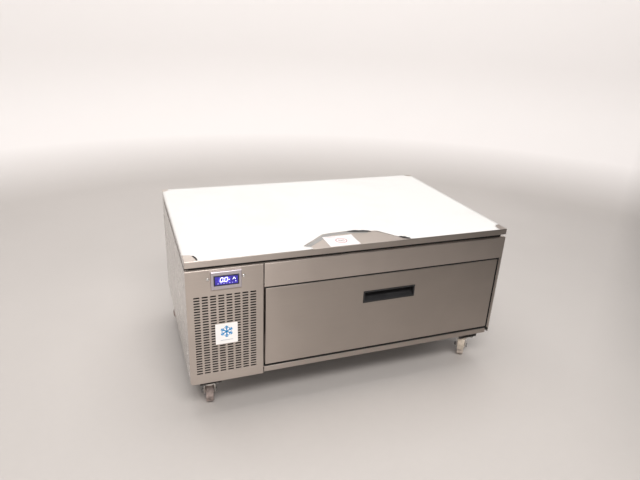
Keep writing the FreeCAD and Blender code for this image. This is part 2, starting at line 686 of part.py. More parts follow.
def castor_wheel(castor):
    """The wheel's hub: a rim, a thinner web with round bosses, and a bore for the axle bolt."""
    half = TYRE_WIDTH / 2 - 1
    y = -HUB_WIDTH / 2
    centre = (CASTOR_TRAIL, 0, WHEEL_RADIUS)
    rim = rod((centre[0], -half, centre[2]), (0, 1, 0), HUB_RADIUS, 2 * half)
    rim = rim.makeFillet(1.0, rims(rim))
    web_cuts = []
    for side in (-half - 1, 5.0):
        dish = rod((centre[0], side, centre[2]), (0, 1, 0), HUB_RADIUS - 4, half - 4)
        web_cuts.append(dish.cut(rod((centre[0], side - 1, centre[2]), (0, 1, 0), 10.0, half)))
    boss = rod((centre[0], y, centre[2]), (0, 1, 0), 9.5, HUB_WIDTH)
    bore = rod((centre[0], y - 1, centre[2]), (0, 1, 0), AXLE_RADIUS + RUNNING_FIT, HUB_WIDTH + 2)
    wheel = cut(fuse([cut(rim, web_cuts), boss]), [bore])
    return [place_castor(wheel, castor)]


def castor_tyre(castor):
    half = TYRE_WIDTH / 2
    centre = (CASTOR_TRAIL, -half, WHEEL_RADIUS)
    outer = rod(centre, (0, 1, 0), WHEEL_RADIUS, TYRE_WIDTH)
    outer = outer.makeFillet(4.0, rims(outer))
    inner = rod((centre[0], centre[1] - 1, centre[2]), (0, 1, 0), HUB_RADIUS, TYRE_WIDTH + 2)
    return [place_castor(outer.cut(inner), castor)]


def brake_pedal(castor):
    """The brake: a cam beside the tyre, on a pin through the fork's legs, and a pedal plate behind it."""
    px, pz = PEDAL_PIVOT
    reach = LEG_INNER + LEG_THICKNESS
    cam_width = 2 * LEG_INNER - 3.0
    cam = rod((px + 0.5, -cam_width / 2, pz + 0.3), (0, 1, 0), 5.3, cam_width)
    plate_points = [(px + 1, pz + 1), (px + 18, pz + 9.5), (px + 33, pz + 5.5), (px + 34, pz + 8.0),
                    (px + 18, pz + 12.3), (px - 2, pz + 4.4)]
    corners = [vec(x, -cam_width / 2, z) for x, z in plate_points]
    lever = Part.Face(Part.makePolygon(corners + corners[:1])).extrude(vec(0, cam_width, 0))
    pin = rod((px, -reach - 1.5, pz), (0, 1, 0), PEDAL_PIN_RADIUS, 2 * reach + 3.0)
    return [place_castor(fuse([cam, lever, pin]), castor)]


# ---- fixed lid and cooling

def lid_envelope():
    """The lid's whole outside: a slab with a well in its underside and a duct for the pipes."""
    slab = block((OPENING_LEFT + 5, OPENING_RIGHT), (LID_FRONT, DEPTH - 10), (LID_BOTTOM, ROOF_BOTTOM))
    well = block(WELL_X, WELL_Y, (LID_BOTTOM - 1, WELL_TOP))
    duct = block((OPENING_LEFT, WELL_X[0] + 1), (SUCTION_Y - 32, SUCTION_Y + 12), (PIPE_Z - 12, PIPE_Z + 12))
    return slab, well, duct


def grown(shape, amount):
    """A box-shaped solid made larger by amount on every side."""
    box = shape.BoundBox
    return block((box.XMin - amount, box.XMax + amount), (box.YMin - amount, box.YMax + amount),
                 (box.ZMin - amount, box.ZMax + amount))


def lid_filling():
    slab, well, duct = lid_envelope()
    return cut(grown(slab, -LINER), [grown(well, LINER), grown(duct, LINER)])


def lid_shell():
    slab, well, duct = lid_envelope()
    return [cut(slab, [well, duct, lid_filling()])]


def lid_foam():
    return [lid_filling()]


def return_bends(x, y, z, count, out):
    """U-bends that join the tubes of a heat exchanger outside its end plate."""
    bends = []
    for i in range(count):
        low = z + i * 26.0
        points = [(x, y, low), (x + out, y, low), (x + out, y, low + 13.0), (x, y, low + 13.0)]
        bends.append(bent_tube(points, 3.0, 6.0))
    return bends


def evaporator_coil():
    core = heat_exchanger_core((424.0, 760.0), (200.0, 500.0), (446.0, 488.0), 42, 3, 1.0)
    plates = [block((x, x + 2.0), (198.0, 502.0), (445.0, 489.0)) for x in (422.0, 760.0)]
    bends = return_bends(762.0, 250.0, 455.0, 1, 14.0) + return_bends(762.0, 400.0, 455.0, 1, 14.0)
    return [fuse([core] + plates)] + bends


def evaporator_shroud():
    """The cover over the lid's well, with the fan's mouth, slots for the returning air and the fan's pin."""
    z = (LID_BOTTOM + 3.0, LID_BOTTOM + 5.0)
    plate = block(inset(WELL_X, 1.0), inset(WELL_Y, 1.0), z)
    x, y = COLD_FAN_CENTRE
    mouth = rod((x, y, z[0] - 1), (0, 0, 1), COLD_FAN_RADIUS + 4, 4.0)
    slots = [block((440.0 + 40 * i, 464.0 + 40 * i), (220.0, 480.0), (z[0] - 1, z[1] + 1)) for i in range(8)]
    bars = [block((x - 70, x + 70), (y - 3, y + 3), z), block((x - 3, x + 3), (y - 70, y + 70), z)]
    ring = rod((x, y, z[0]), (0, 0, 1), COLD_FAN_RADIUS + 6, 30.0)
    ring = ring.cut(rod((x, y, z[0] - 1), (0, 0, 1), COLD_FAN_RADIUS + 4, 32.0))
    pin = rod((x, y, z[0]), (0, 0, 1), SHAFT_RADIUS - RUNNING_FIT, 34.0)
    seat = rod((x, y, z[0]), (0, 0, 1), 12.0, 4.0)
    return [fuse([cut(plate, [mouth] + slots)] + bars + [ring, pin, seat])]


def evaporator_fan():
    rotor = fan_rotor(COLD_FAN_RADIUS, 20.0, 22.0, 5, 24.0, SHAFT_RADIUS)
    rotor.translate(vec(COLD_FAN_CENTRE[0], COLD_FAN_CENTRE[1], LID_BOTTOM + 22.0))
    return [rotor]


def condenser_coil():
    x, y, z = COIL_BOX
    core = heat_exchanger_core(x, y, z, 30, 14, 1.0)
    plates = [block((end, end + 2.0), inset(y, -3.0), inset(z, -2.0)) for end in (x[0] - 2.0, x[1])]
    bends = return_bends(x[1] + 2.0, 60.0, z[0] + 20.0, 7, 9.0)
    return [fuse([core] + plates)] + bends


def condenser_shroud():
    """A hood from the condenser's back face to a round mouth about the fan."""
    x, y, z = COIL_BOX
    cx, cz = FAN_CENTRE
    box_back = y[1] + 14.0
    low = (FLOOR_TOP, z[0])
    hood = block(inset(x, -1.0), (y[1] + 3.2, box_back), inset(z, -1.0))
    hood = hood.cut(block(inset(x, 0.5), (y[1], box_back - SHEET), inset(z, 0.5)))
    mouth = rod((cx, box_back - SHEET, cz), (0, 1, 0), FAN_RADIUS + 5, SHROUD_BACK - box_back + SHEET)
    air = rod((cx, y[1], cz), (0, 1, 0), FAN_RADIUS + 4, SHROUD_BACK)
    feet = [block((fx, fx + 20), (box_back - 12, box_back), low) for fx in (x[0] + 6, x[1] - 26)]
    return [cut(fuse([hood, mouth] + feet), [air])]


def condenser_fan_motor():
    """The fan's motor, on a bracket across the shroud's mouth."""
    cx, cz = FAN_CENTRE
    can = rod((cx, MOTOR_FRONT, cz), (0, 1, 0), MOTOR_RADIUS, MOTOR_BACK - MOTOR_FRONT)
    can = can.makeFillet(5.0, rims(can))
    y = (MOTOR_FRONT + 6, MOTOR_FRONT + 9)
    bar = block((cx - FAN_RADIUS - 5, cx + FAN_RADIUS + 5), y, (cz - 8, cz + 8))
    arms = [block((ax, ax + 3), (SHROUD_BACK, y[1]), (cz - 8, cz + 8))
            for ax in (cx - FAN_RADIUS - 5, cx + FAN_RADIUS + 2)]
    bore = rod((cx, MOTOR_FRONT - 1, cz), (0, 1, 0), SHAFT_RADIUS + RUNNING_FIT, 20.0)
    return [cut(fuse([can, bar] + arms), [bore])]


def condenser_fan():
    """The fan and its shaft, which runs back into the motor."""
    cx, cz = FAN_CENTRE
    rotor = fan_rotor(FAN_RADIUS, 22.0, 20.0, 5, 26.0)
    rotor.rotate(vec(0, 0, 0), vec(1, 0, 0), 90.0)
    rotor.translate(vec(cx, FAN_Y + 8.0, cz))
    shaft = rod((cx, FAN_Y + 10.0, cz), (0, 1, 0), SHAFT_RADIUS, MOTOR_FRONT + 16.0 - FAN_Y - 10.0)
    return [fuse([rotor, shaft])]


def compressor():
    """A hermetic compressor: a domed shell on a foot plate, its terminal cover, and the pump inside."""
    cx, cy = COMPRESSOR_CENTRE
    low = COMPRESSOR_FOOT_Z
    height = COMPRESSOR_TOP_Z - low
    outer = rod((cx, cy, low), (0, 0, 1), COMPRESSOR_RADIUS, height)
    outer = outer.makeFillet(40.0, edges_at(outer, lambda p: close_to(p.z, low + height)))
    inner = rod((cx, cy, low + 4), (0, 0, 1), COMPRESSOR_RADIUS - 4, height - 8)
    inner = inner.makeFillet(36.0, edges_at(inner, lambda p: close_to(p.z, low + height - 4)))
    seam = rod((cx, cy, low + 82.0), (0, 0, 1), COMPRESSOR_RADIUS + 3, 5.0)
    foot = block((cx - 95, cx + 95), (cy - 72, cy + 72), (low, low + 3))
    foot = foot.makeFillet(14.0, edges_along(foot, 2))
    terminals = block((cx - 28, cx + 28), (cy - COMPRESSOR_RADIUS - 16, cy - COMPRESSOR_RADIUS + 20),
                      (low + 30, low + 78))
    holes = [rod((x, y, low - 1), (0, 0, 1), 6.0, 5.0) for x, y in compressor_feet()]
    shell = cut(fuse([outer, seam, foot, terminals]), [inner] + holes)
    pump = rod((cx, cy, low + 30), (0, 0, 1), 46.0, 95.0)
    return [shell, pump]


def compressor_feet():
    cx, cy = COMPRESSOR_CENTRE
    return [(cx + i * 80, cy + j * 60) for i in (-1, 1) for j in (-1, 1)]


def compressor_mounts():
    """Rubber grommets between the foot plate and the base."""
    mounts = []
    for x, y in compressor_feet():
        below = rod((x, y, FLOOR_TOP), (0, 0, 1), 11.0, COMPRESSOR_FOOT_Z - FLOOR_TOP)
        neck = rod((x, y, COMPRESSOR_FOOT_Z - 1), (0, 0, 1), 5.8, 5.0)
        above = rod((x, y, COMPRESSOR_FOOT_Z + 3.1), (0, 0, 1), 9.0, 4.0)
        mounts.append(fuse([below, neck, above]))
    return mounts


def filter_drier():
    x, y = DRIER_CENTRE
    body = rod((x, y, DRIER_Z[0]), (0, 0, 1), 11.0, DRIER_Z[1] - DRIER_Z[0])
    return [body.makeFillet(6.0, rims(body))]


def refrigerant_pipes():
    """The discharge, liquid, capillary and suction lines, from the compressor round the circuit."""
    cx, cy = COMPRESSOR_CENTRE
    x, y, z = COIL_BOX
    dx, dy = DRIER_CENTRE
    coil_y = (y[0] + y[1]) / 2
    front = cy - COMPRESSOR_RADIUS
    cold_end = 421.5
    over = z[1] + 28.0
    discharge = [(cx + 50, front + 22, 280), (cx + 50, 216, 280), (cx + 83, 216, 280), (cx + 83, 216, over),
                 (cx + 83, coil_y, over), (cx + 83, coil_y, z[1] + 0.5)]
    liquid = [(x[0] + 13, coil_y, z[1] + 0.5), (x[0] + 13, coil_y, over), (x[0] + 13, dy, over),
              (dx, dy, over), (dx, dy, DRIER_Z[1] - 1)]
    capillary = [(dx, dy, DRIER_Z[0] + 1), (dx, dy, 190), (dx + 30, dy, 190), (dx + 30, dy, PIPE_Z),
                 (cold_end, dy, PIPE_Z)]
    suction = [(cold_end, SUCTION_Y, PIPE_Z), (cx, SUCTION_Y, PIPE_Z), (cx, SUCTION_Y, 250),
               (cx, cy + COMPRESSOR_RADIUS - 1, 250)]
    return [bent_tube(discharge, PIPE_RADIUS, 12.0), bent_tube(liquid, PIPE_RADIUS, 12.0),
            bent_tube(capillary, CAPILLARY_RADIUS, 12.0), bent_tube(suction, PIPE_RADIUS, 14.0)]


def condensate_tray():
    x = (20.0, 215.0)
    y = (482.0, 640.0)
    z = (FLOOR_TOP, 176.0)
    return [block(x, y, z).cut(block(inset(x, 1.5), inset(y, 1.5), (z[0] + 1.5, z[1] + 1)))]


def mains_inlet():
    """A three-pin appliance inlet in the rear panel."""
    flange = block((INLET_X - 25, INLET_X + 25), (DEPTH, DEPTH + 2), (INLET_Z - 14, INLET_Z + 14))
    flange = flange.makeFillet(5.0, edges_along(flange, 1))
    body = block((INLET_X - 14, INLET_X + 14), (DEPTH - 30, DEPTH), (INLET_Z - 11, INLET_Z + 11))
    socket = block((INLET_X - 12, INLET_X + 12), (DEPTH - 18, DEPTH + 3), (INLET_Z - 8.5, INLET_Z + 8.5))
    pins = [block(centred(INLET_X + dx, 2.0), (DEPTH - 19, DEPTH - 6), centred(INLET_Z + dz, 6.0))
            for dx, dz in ((-7, -2), (0, 2), (7, -2))]
    return [fuse([fuse([flange, body]).cut(socket)] + pins)]


# ---- runners

def channel(x_web, x_lips, height, y):
    """A channel on its side: a web at x_web with two lips that reach to x_lips."""
    side = 1 if x_lips > x_web else -1
    z = centred(RUNNER_MIDDLE_Z, height)
    outer = block(sorted((x_web, x_lips)), y, z)
    inner = block(sorted((x_web + side * RUNNER_SHEET, x_lips + side)), inset(y, -1), inset(z, RUNNER_SHEET))
    return outer.cut(inner)


def both_sides(start, end, height, y):
    """The same channel beside the left and the right wall, from distances off the wall."""
    return [channel(OPENING_LEFT + start, OPENING_LEFT + end, height, y),
            channel(OPENING_RIGHT - start, OPENING_RIGHT - end, height, y)]


def cabinet_runners():
    """The fixed members, and the posts that carry the right-hand one off the side panel."""
    members = both_sides(0.1, 15.6, RUNNER_HEIGHTS[0], (RUNNER_FRONT, RUNNER_BACK))
    posts = []
    for y in (80.0, 340.0, 600.0):
        post = block((OPENING_RIGHT - 0.1, WIDTH - SHEET), (y, y + 40), (FLOOR_TOP + 16, 240.0))
        hollow = block((OPENING_RIGHT + 2, WIDTH - SHEET - 2), (y + 2, y + 41), (FLOOR_TOP, 241.0))
        posts.append(post.cut(hollow))
    return [members[0], fuse([members[1]] + posts)]


def middle_runners():
    return both_sides(2.8, 16.8, RUNNER_HEIGHTS[1], (RUNNER_FRONT, RUNNER_BACK))


def drawer_runners():
    return both_sides(20.0, 6.3, RUNNER_HEIGHTS[2], (RUNNER_FRONT, RUNNER_BACK))


# ---- drawer

def drawer_front():
    """The drawer's face: a pan folded back on all four sides, with a cut-out for the handle."""
    x = (DRAWER_LEFT, DRAWER_RIGHT)
    z = (DRAWER_BOTTOM, DRAWER_TOP)
    pan = block(x, (0, DRAWER_DEPTH), z)
    pan = pan.makeFillet(1.5, edges_at(pan, lambda p: close_to(p.y, 0)))
    hollow = block(inset(x, SHEET), (SHEET, DRAWER_DEPTH + 1), inset(z, SHEET))
    hole = block(inset((HANDLE_LEFT, HANDLE_RIGHT), HANDLE_RIM - 2.4), (-1, SHEET + 1),
                 inset((HANDLE_BOTTOM, HANDLE_TOP), HANDLE_RIM - 2.4))
    return [cut(pan, [hollow, hole])]


def handle_recess():
    """A moulded pull: a rim on the drawer's face and a pocket that fingers hook up into."""
    x = (HANDLE_LEFT, HANDLE_RIGHT)
    z = (HANDLE_BOTTOM, HANDLE_TOP)
    wall = 2.0
    mouth_x = inset(x, HANDLE_RIM)
    low = HANDLE_BOTTOM + HANDLE_RIM
    high = HANDLE_TOP - HANDLE_RIM
    back = DRAWER_DEPTH - 3.5
    rim = block(x, (-HANDLE_PROUD, 0), z)
    rim = rim.makeFillet(1.2, edges_at(rim, lambda p: close_to(p.y, -HANDLE_PROUD)))
    neck = block(inset(mouth_x, -wall), (-0.5, SHEET + 0.1), (low - wall, high + wall))
    behind = SHEET + 0.05
    pocket_outside = [(behind, low - wall), (back - 4, low + 12), (back + wall, low + 20),
                      (back + wall, high + 20), (behind, high + 20)]
    pocket = prism_yz(pocket_outside, inset(mouth_x, -wall))
    pocket_inside = [(-4, low), (0.5, low), (back - 5, low + 14), (back, low + 21), (back, high + 18),
                     (behind + wall, high + 18), (behind + wall, high), (-4, high)]
    return [fuse([rim, neck, pocket]).cut(prism_yz(pocket_inside, mouth_x))]


def drawer_frame():
    """The cradle that carries the container: two side angles, cross straps and a front plate."""
    t = FRAME_SHEET
    left = OPENING_LEFT + 20.1
    right = OPENING_RIGHT - 20.1
    y = (DRAWER_DEPTH + 0.2, 660.0)
    low = CONTAINER_BOTTOM - t - 0.2
    pieces = [
        block((left, left + t), y, (low, 240.0)),
        block((right - t, right), y, (low, 240.0)),
        block((left, left + 44), y, (low, low + t)),
        block((right - 44, right), y, (low, low + t)),
        block((left - 8, right + 8), (y[0], y[0] + t), (low, CONTAINER_TOP)),
    ]
    pieces += [block((left, right), (sy, sy + 60), (low, low + t)) for sy in (90.0, 320.0, 560.0)]
    return [fuse(pieces)]


def container_outside():
    x = (CONTAINER_LEFT, CONTAINER_RIGHT)
    y = (CONTAINER_FRONT, CONTAINER_BACK)
    z = (CONTAINER_BOTTOM, CONTAINER_TOP)
    return x, y, z


def container_shell():
    """The container's outer skin, open at the top."""
    x, y, z = container_outside()
    top = z[1] - LINER
    outer = block(x, y, (z[0], top))
    return [outer.cut(block(inset(x, LINER), inset(y, LINER), (z[0] + LINER, top + 1)))]


def container_foam():
    x, y, z = container_outside()
    wall = CONTAINER_WALL - LINER
    outer = block(inset(x, LINER), inset(y, LINER), (z[0] + LINER, z[1] - LINER))
    return [outer.cut(block(inset(x, wall), inset(y, wall), (z[0] + wall, z[1])))]


def container_liner():
    """The inner bin: a deep tray with a flat rim that covers the foam."""
    x, y, z = container_outside()
    floor = z[0] + CONTAINER_WALL
    wall = CONTAINER_WALL - LINER
    bin_outside = block(inset(x, wall), inset(y, wall), (z[0] + wall, z[1]))
    rim = block(x, y, (z[1] - LINER, z[1]))
    room = block(inset(x, CONTAINER_WALL), inset(y, CONTAINER_WALL), (floor, z[1] + 1))
    room = room.makeFillet(12.0, edges_along(room, 2))
    return [cut(fuse([bin_outside, rim]), [room])]


def container_gasket():
    """A hollow seal round the container's rim, just under the lid."""
    x, y, z = container_outside()
    rim_x = inset(x, 10.0)
    rim_y = inset(y, 10.0)
    height = (z[1], z[1] + GASKET_HEIGHT)
    ring = block(rim_x, rim_y, height)
    opening = block(inset(rim_x, GASKET_WIDTH), inset(rim_y, GASKET_WIDTH), inset(height, -1))
    seal = ring.cut(opening)
    return [seal.makeFillet(1.8, edges_at(seal, lambda p: close_to(p.z, height[1])))]


# ---- every piece, by the name of its node

PIECES = {
    "worktop_skin": worktop_skin,
    "worktop_core": worktop_core,
    "worktop_film": worktop_film,
    "worktop_spacer": worktop_spacer,
    "side_panel_left": side_panel_left,
    "side_panel_right": side_panel_right,
    "rear_panel": rear_panel,
    "base_pan": base_pan,
    "roof_panel": roof_panel,
    "engine_partition": engine_partition,
    "fascia_panel": fascia_panel,
    "drawer_surround": drawer_surround,
    "engine_cover": engine_cover,
    "cover_badge": cover_badge,
    "controller_bezel": controller_bezel,
    "controller_body": controller_body,
    "controller_display": controller_display,
    "panel_screws": panel_screws,
    "chassis_rails": chassis_rails,
    "castor_plates": castor_plates,
    "castor_bolts": castor_bolts,
    "lid_shell": lid_shell,
    "lid_foam": lid_foam,
    "evaporator_coil": evaporator_coil,
    "evaporator_shroud": evaporator_shroud,
    "evaporator_fan": evaporator_fan,
    "condenser_coil": condenser_coil,
    "condenser_shroud": condenser_shroud,
    "condenser_fan_motor": condenser_fan_motor,
    "condenser_fan": condenser_fan,
    "compressor": compressor,
    "compressor_mounts": compressor_mounts,
    "filter_drier": filter_drier,
    "refrigerant_pipes": refrigerant_pipes,
    "condensate_tray": condensate_tray,
    "mains_inlet": mains_inlet,
    "cabinet_runners": cabinet_runners,
    "middle_runners": middle_runners,
    "drawer_runners": drawer_runners,
    "drawer_front": drawer_front,
    "handle_recess": handle_recess,
    "drawer_frame": drawer_frame,
    "container_shell": container_shell,
    "container_foam": container_foam,
    "container_liner": container_liner,
    "container_gasket": container_gasket,
}


def save(name, solids):
    """Write one node's solids, moved so that the origin is under the middle of the cabinet."""
    shape = Part.makeCompound(solids)
    shape.translate(vec(-WIDTH / 2, -DEPTH / 2, 0))
    shape.exportStep("parts/" + name + ".step")
    pieces = shape.Solids
    good = all(s.isValid() for s in pieces) and len(pieces) == len(solids)
    print(name, len(pieces), "ok" if good else "CHECK", round(shape.Volume / 1000))


os.makedirs("parts", exist_ok=True)
for piece_name, make in PIECES.items():
    save(piece_name, make())
for each in CASTORS:
    save("castor_fork_" + each[0], castor_fork(each))
    save("castor_wheel_" + each[0], castor_wheel(each))
    save("castor_tyre_" + each[0], castor_tyre(each))
    if each[0].startswith("front"):
        save("brake_pedal_" + each[0], brake_pedal(each))
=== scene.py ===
import json
import math
import random

import bmesh
import bpy
from mathutils import Matrix, Vector, noise
from mathutils.geometry import delaunay_2d_cdt


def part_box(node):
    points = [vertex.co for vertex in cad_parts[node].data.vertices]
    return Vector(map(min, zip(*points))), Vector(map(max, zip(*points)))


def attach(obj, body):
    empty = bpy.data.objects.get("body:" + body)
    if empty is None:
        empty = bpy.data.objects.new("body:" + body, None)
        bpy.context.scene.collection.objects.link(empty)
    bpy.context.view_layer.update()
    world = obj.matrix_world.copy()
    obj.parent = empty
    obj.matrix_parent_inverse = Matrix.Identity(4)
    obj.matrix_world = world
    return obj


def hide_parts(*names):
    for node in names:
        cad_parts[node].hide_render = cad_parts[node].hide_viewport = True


# The looks of a low undercounter refrigerator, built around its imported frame.
# Lengths are in metres, in the row frame: +X right, +Y back, +Z up, with the origin on the floor.
# Places on the worktop and the front are given in millimetres from the cabinet's front left corner.

MM = 0.001

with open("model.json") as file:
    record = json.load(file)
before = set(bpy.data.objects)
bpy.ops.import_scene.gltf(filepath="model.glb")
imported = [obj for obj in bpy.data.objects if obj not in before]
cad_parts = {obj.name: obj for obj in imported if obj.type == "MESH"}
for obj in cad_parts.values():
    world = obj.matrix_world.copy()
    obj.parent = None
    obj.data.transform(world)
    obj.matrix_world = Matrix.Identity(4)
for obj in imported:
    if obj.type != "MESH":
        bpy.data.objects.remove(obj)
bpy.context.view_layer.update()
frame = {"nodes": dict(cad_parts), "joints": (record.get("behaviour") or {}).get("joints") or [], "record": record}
nodes = frame["nodes"]
body_of = {n: body for body, names in frame["record"]["behaviour"]["bodies"].items() for n in names}
slot_of = {part["node"]: part["material_slot"] for part in frame["record"]["subparts"]}
joints = {joint["name"]: joint for joint in frame["joints"]}
CASTORS = ("front_left", "front_right", "rear_left", "rear_right")
WORKTOP_LOW, WORKTOP_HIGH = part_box("worktop_skin")
TOP = WORKTOP_HIGH.z
FRONT = WORKTOP_LOW.y
LEFT = WORKTOP_LOW.x


def on_top(u, v, rise=0.0):
    """A point on the worktop, from millimetres right and back of its front left corner."""
    return Vector((LEFT + u * MM, FRONT + v * MM, TOP + rise * MM))


# ---- materials


class Surface:
    """A Principled material being built: its shader, and patterns laid out in object space."""

    def __init__(self, name, colour, roughness, metallic=0.0, **constants):
        self.made = bpy.data.materials.new(name)
        self.made.use_nodes = True
        self.tree = self.made.node_tree
        self.shader = self.tree.nodes["Principled BSDF"]
        self.shader.inputs["Base Color"].default_value = (*colour, 1.0)
        self.shader.inputs["Roughness"].default_value = roughness
        self.shader.inputs["Metallic"].default_value = metallic
        for key, value in constants.items():
            self.shader.inputs[key.replace("_", " ")].default_value = value
        self.place = self.add("TexCoord").outputs["Object"]

    def add(self, kind, inputs=None, **settings):
        """A node, with its settings, and its inputs as numbers or as links from other nodes."""
        node = self.tree.nodes.new("ShaderNode" + kind)
        for key, value in settings.items():
            setattr(node, key, value)
        for key, value in (inputs or {}).items():
            if isinstance(value, bpy.types.NodeSocket):
                self.tree.links.new(value, node.inputs[key])
            else:
                node.inputs[key].default_value = value
        return node

    def stretched(self, stretch, turn=(0, 0, 0)):
        scaled = {"Vector": self.place, "Scale": stretch, "Rotation": turn}
        return self.add("Mapping", scaled).outputs["Vector"]

    def noise(self, scale, detail=3.0, rough=0.5, stretch=None, distortion=0.0):
        where = self.stretched(stretch) if stretch else self.place
        inputs = {"Vector": where, "Scale": scale, "Detail": detail, "Roughness": rough,
                  "Distortion": distortion}
        return self.add("TexNoise", inputs).outputs["Fac"]

    def cells(self, scale, feature="F1", stretch=None):
        where = self.stretched(stretch) if stretch else self.place
        node = self.add("TexVoronoi", {"Vector": where, "Scale": scale}, feature=feature)
        return node.outputs["Distance"], node.outputs["Color"] if feature == "F1" else None

    def spread(self, value, low, high, to_low=0.0, to_high=1.0):
        """A value from the range low to high, spread over another range and kept inside it."""
        inputs = {"Value": value, "From Min": low, "From Max": high, "To Min": to_low, "To Max": to_high}
        return self.add("MapRange", inputs).outputs["Result"]

    def maths(self, operation, first, second):
        return self.add("Math", {0: first, 1: second}, operation=operation).outputs["Value"]

    def blend(self, factor, first, second):
        """A colour between two colours, which may be colours or links."""
        pair = [c if isinstance(c, bpy.types.NodeSocket) else (*c, 1.0) for c in (first, second)]
        node = self.add("Mix", {"Factor": factor}, data_type="RGBA")
        colour_inputs = [s for s in node.inputs if s.type == "RGBA"]
        for socket, value in zip(colour_inputs, pair):
            if isinstance(value, bpy.types.NodeSocket):
                self.tree.links.new(value, socket)
            else:
                socket.default_value = value
        return next(s for s in node.outputs if s.type == "RGBA")

    def feed(self, socket, value):
        self.tree.links.new(value, self.shader.inputs[socket])
        return self

    def bump(self, *layers):
        """Bumps on top of each other, each from a height pattern and its depth in millimetres."""
        below = None
        for height, depth in layers:
            inputs = {"Height": height, "Distance": depth * MM, "Strength": 1.0}
            if below is not None:
                inputs["Normal"] = below
            below = self.add("Bump", inputs).outputs["Normal"]
        return self.feed("Normal", below)


def stainless(name, along, smooth=0.30, dull=0.42, light=(0.49, 0.433, 0.39), streak=0.78,
              grain_depth=0.012):
    """Brushed stainless steel: fine lines along one axis, soft blotches and wiped smudges."""
    steel = Surface(name, light, 0.36, 1.0, Anisotropic=streak)
    across = steel.add("Tangent", direction_type="RADIAL", axis=along)
    steel.feed("Tangent", across.outputs["Tangent"])
    lines = [900.0, 900.0, 900.0]
    lines["XYZ".index(along)] = 7.0
    grain = steel.noise(1.0, 3.0, 0.6, stretch=lines)
    blotches = steel.noise(2.2, 3.0, 0.55)
    smudges = steel.noise(9.0, 5.0, 0.6, distortion=0.6)
    dark = tuple(c * 0.86 for c in light)
    worn = steel.maths("ADD", steel.maths("MULTIPLY", blotches, 0.75), steel.maths("MULTIPLY", grain, 0.25))
    steel.feed("Base Color", steel.blend(steel.spread(worn, 0.35, 0.65), dark, light))
    cloud = steel.maths("ADD", steel.maths("MULTIPLY", smudges, 0.5), steel.maths("MULTIPLY", blotches, 0.5))
    rough = steel.maths("ADD", steel.spread(cloud, 0.38, 0.62, smooth, dull),
                        steel.spread(grain, 0.2, 0.8, -0.03, 0.03))
    steel.feed("Roughness", rough)
    return steel.bump((blotches, 0.25), (grain, grain_depth)).made


def galvanised(name="galvanised_sheet", grime=1.0):
    """Hot-dipped sheet, with its spangle of flat crystals."""
    sheet = Surface(name, (0.42, 0.42, 0.41), 0.5, 1.0)
    # grime below 1 darkens both tones: partly real grime, partly painted shade.
    dark, light = ([c * grime for c in shade] for shade in ((0.33, 0.33, 0.325), (0.52, 0.52, 0.51)))
    edge, crystal = sheet.cells(85.0)
    grey = sheet.add("RGBToBW", {"Color": crystal}).outputs["Val"]
    dust = sheet.noise(6.0, 5.0)
    shade = sheet.maths("ADD", sheet.maths("MULTIPLY", grey, 0.6), sheet.maths("MULTIPLY", dust, 0.4))
    sheet.feed("Base Color", sheet.blend(sheet.spread(shade, 0.2, 0.8), dark, light))
    sheet.feed("Roughness", sheet.spread(shade, 0.2, 0.8, 0.36, 0.62))
    return sheet.bump((dust, 0.1), (edge, 0.02)).made


def zinc_plate(name="zinc_plate", smooth=0.28, dull=0.44):
    """Bright zinc plating on pressed steel, a little clouded and scuffed."""
    zinc = Surface(name, (0.8, 0.77, 0.73), 0.34, 1.0)
    cloud = zinc.noise(60.0, 4.0)
    scuffs = zinc.noise(400.0, 2.0, stretch=(1.0, 0.15, 1.0))
    dull_zinc, bright_zinc = (0.72, 0.68, 0.63), (0.88, 0.86, 0.83)
    zinc.feed("Base Color", zinc.blend(zinc.spread(cloud, 0.3, 0.7), dull_zinc, bright_zinc))
    zinc.feed("Roughness", zinc.spread(cloud, 0.3, 0.7, smooth, dull))
    return zinc.bump((cloud, 0.06), (scuffs, 0.008)).made


def screw_metal(name="screw_metal", tone=1.0, rough=0.15):
    metal = Surface(name, (0.7, 0.69, 0.67), 0.22, 1.0)
    marks = metal.noise(900.0, 3.0)
    dark, light = ([c * tone for c in shade] for shade in ((0.58, 0.57, 0.55), (0.8, 0.79, 0.77)))
    metal.feed("Base Color", metal.blend(marks, dark, light))
    metal.feed("Roughness", metal.spread(marks, 0.3, 0.7, rough, rough + 0.2))
    return metal.bump((marks, 0.01)).made


def film_top(name="film_white"):
    """White polythene with long shallow wrinkles and faint wipe marks."""
    film = Surface(name, (0.67, 0.663, 0.65), 0.46)
    clean, wiped = (0.685, 0.677, 0.665), (0.63, 0.622, 0.608)
    wrinkles = film.noise(5.0, 3.0, 0.45, stretch=(1.0, 0.4, 1.0), distortion=0.8)
    grime = film.noise(3.0, 5.0, 0.6)
    film.feed("Base Color", film.blend(film.spread(grime, 0.45, 0.75), clean, wiped))
    film.feed("Roughness", film.spread(grime, 0.3, 0.7, 0.4, 0.52))
    return film.bump((wrinkles, 0.35)).made


def plain(name, colour, rough, variation=0.12, scale=30.0, depth=0.03, fine=600.0, metallic=0.0, **constants):
    """A moulded, painted or rubber surface: slow colour drift, a fine texture and uneven gloss."""
    made = Surface(name, colour, rough, metallic, **constants)
    drift = made.noise(scale, 4.0)
    texture = made.noise(fine, 2.0)
    light = tuple(min(1.0, c * (1 + variation)) for c in colour)
    dark = tuple(c * (1 - variation) for c in colour)
    made.feed("Base Color", made.blend(made.spread(drift, 0.3, 0.7), dark, light))
    made.feed("Roughness", made.spread(drift, 0.3, 0.7, rough * 0.85, min(1.0, rough * 1.15)))
    return made.bump((texture, depth)).made


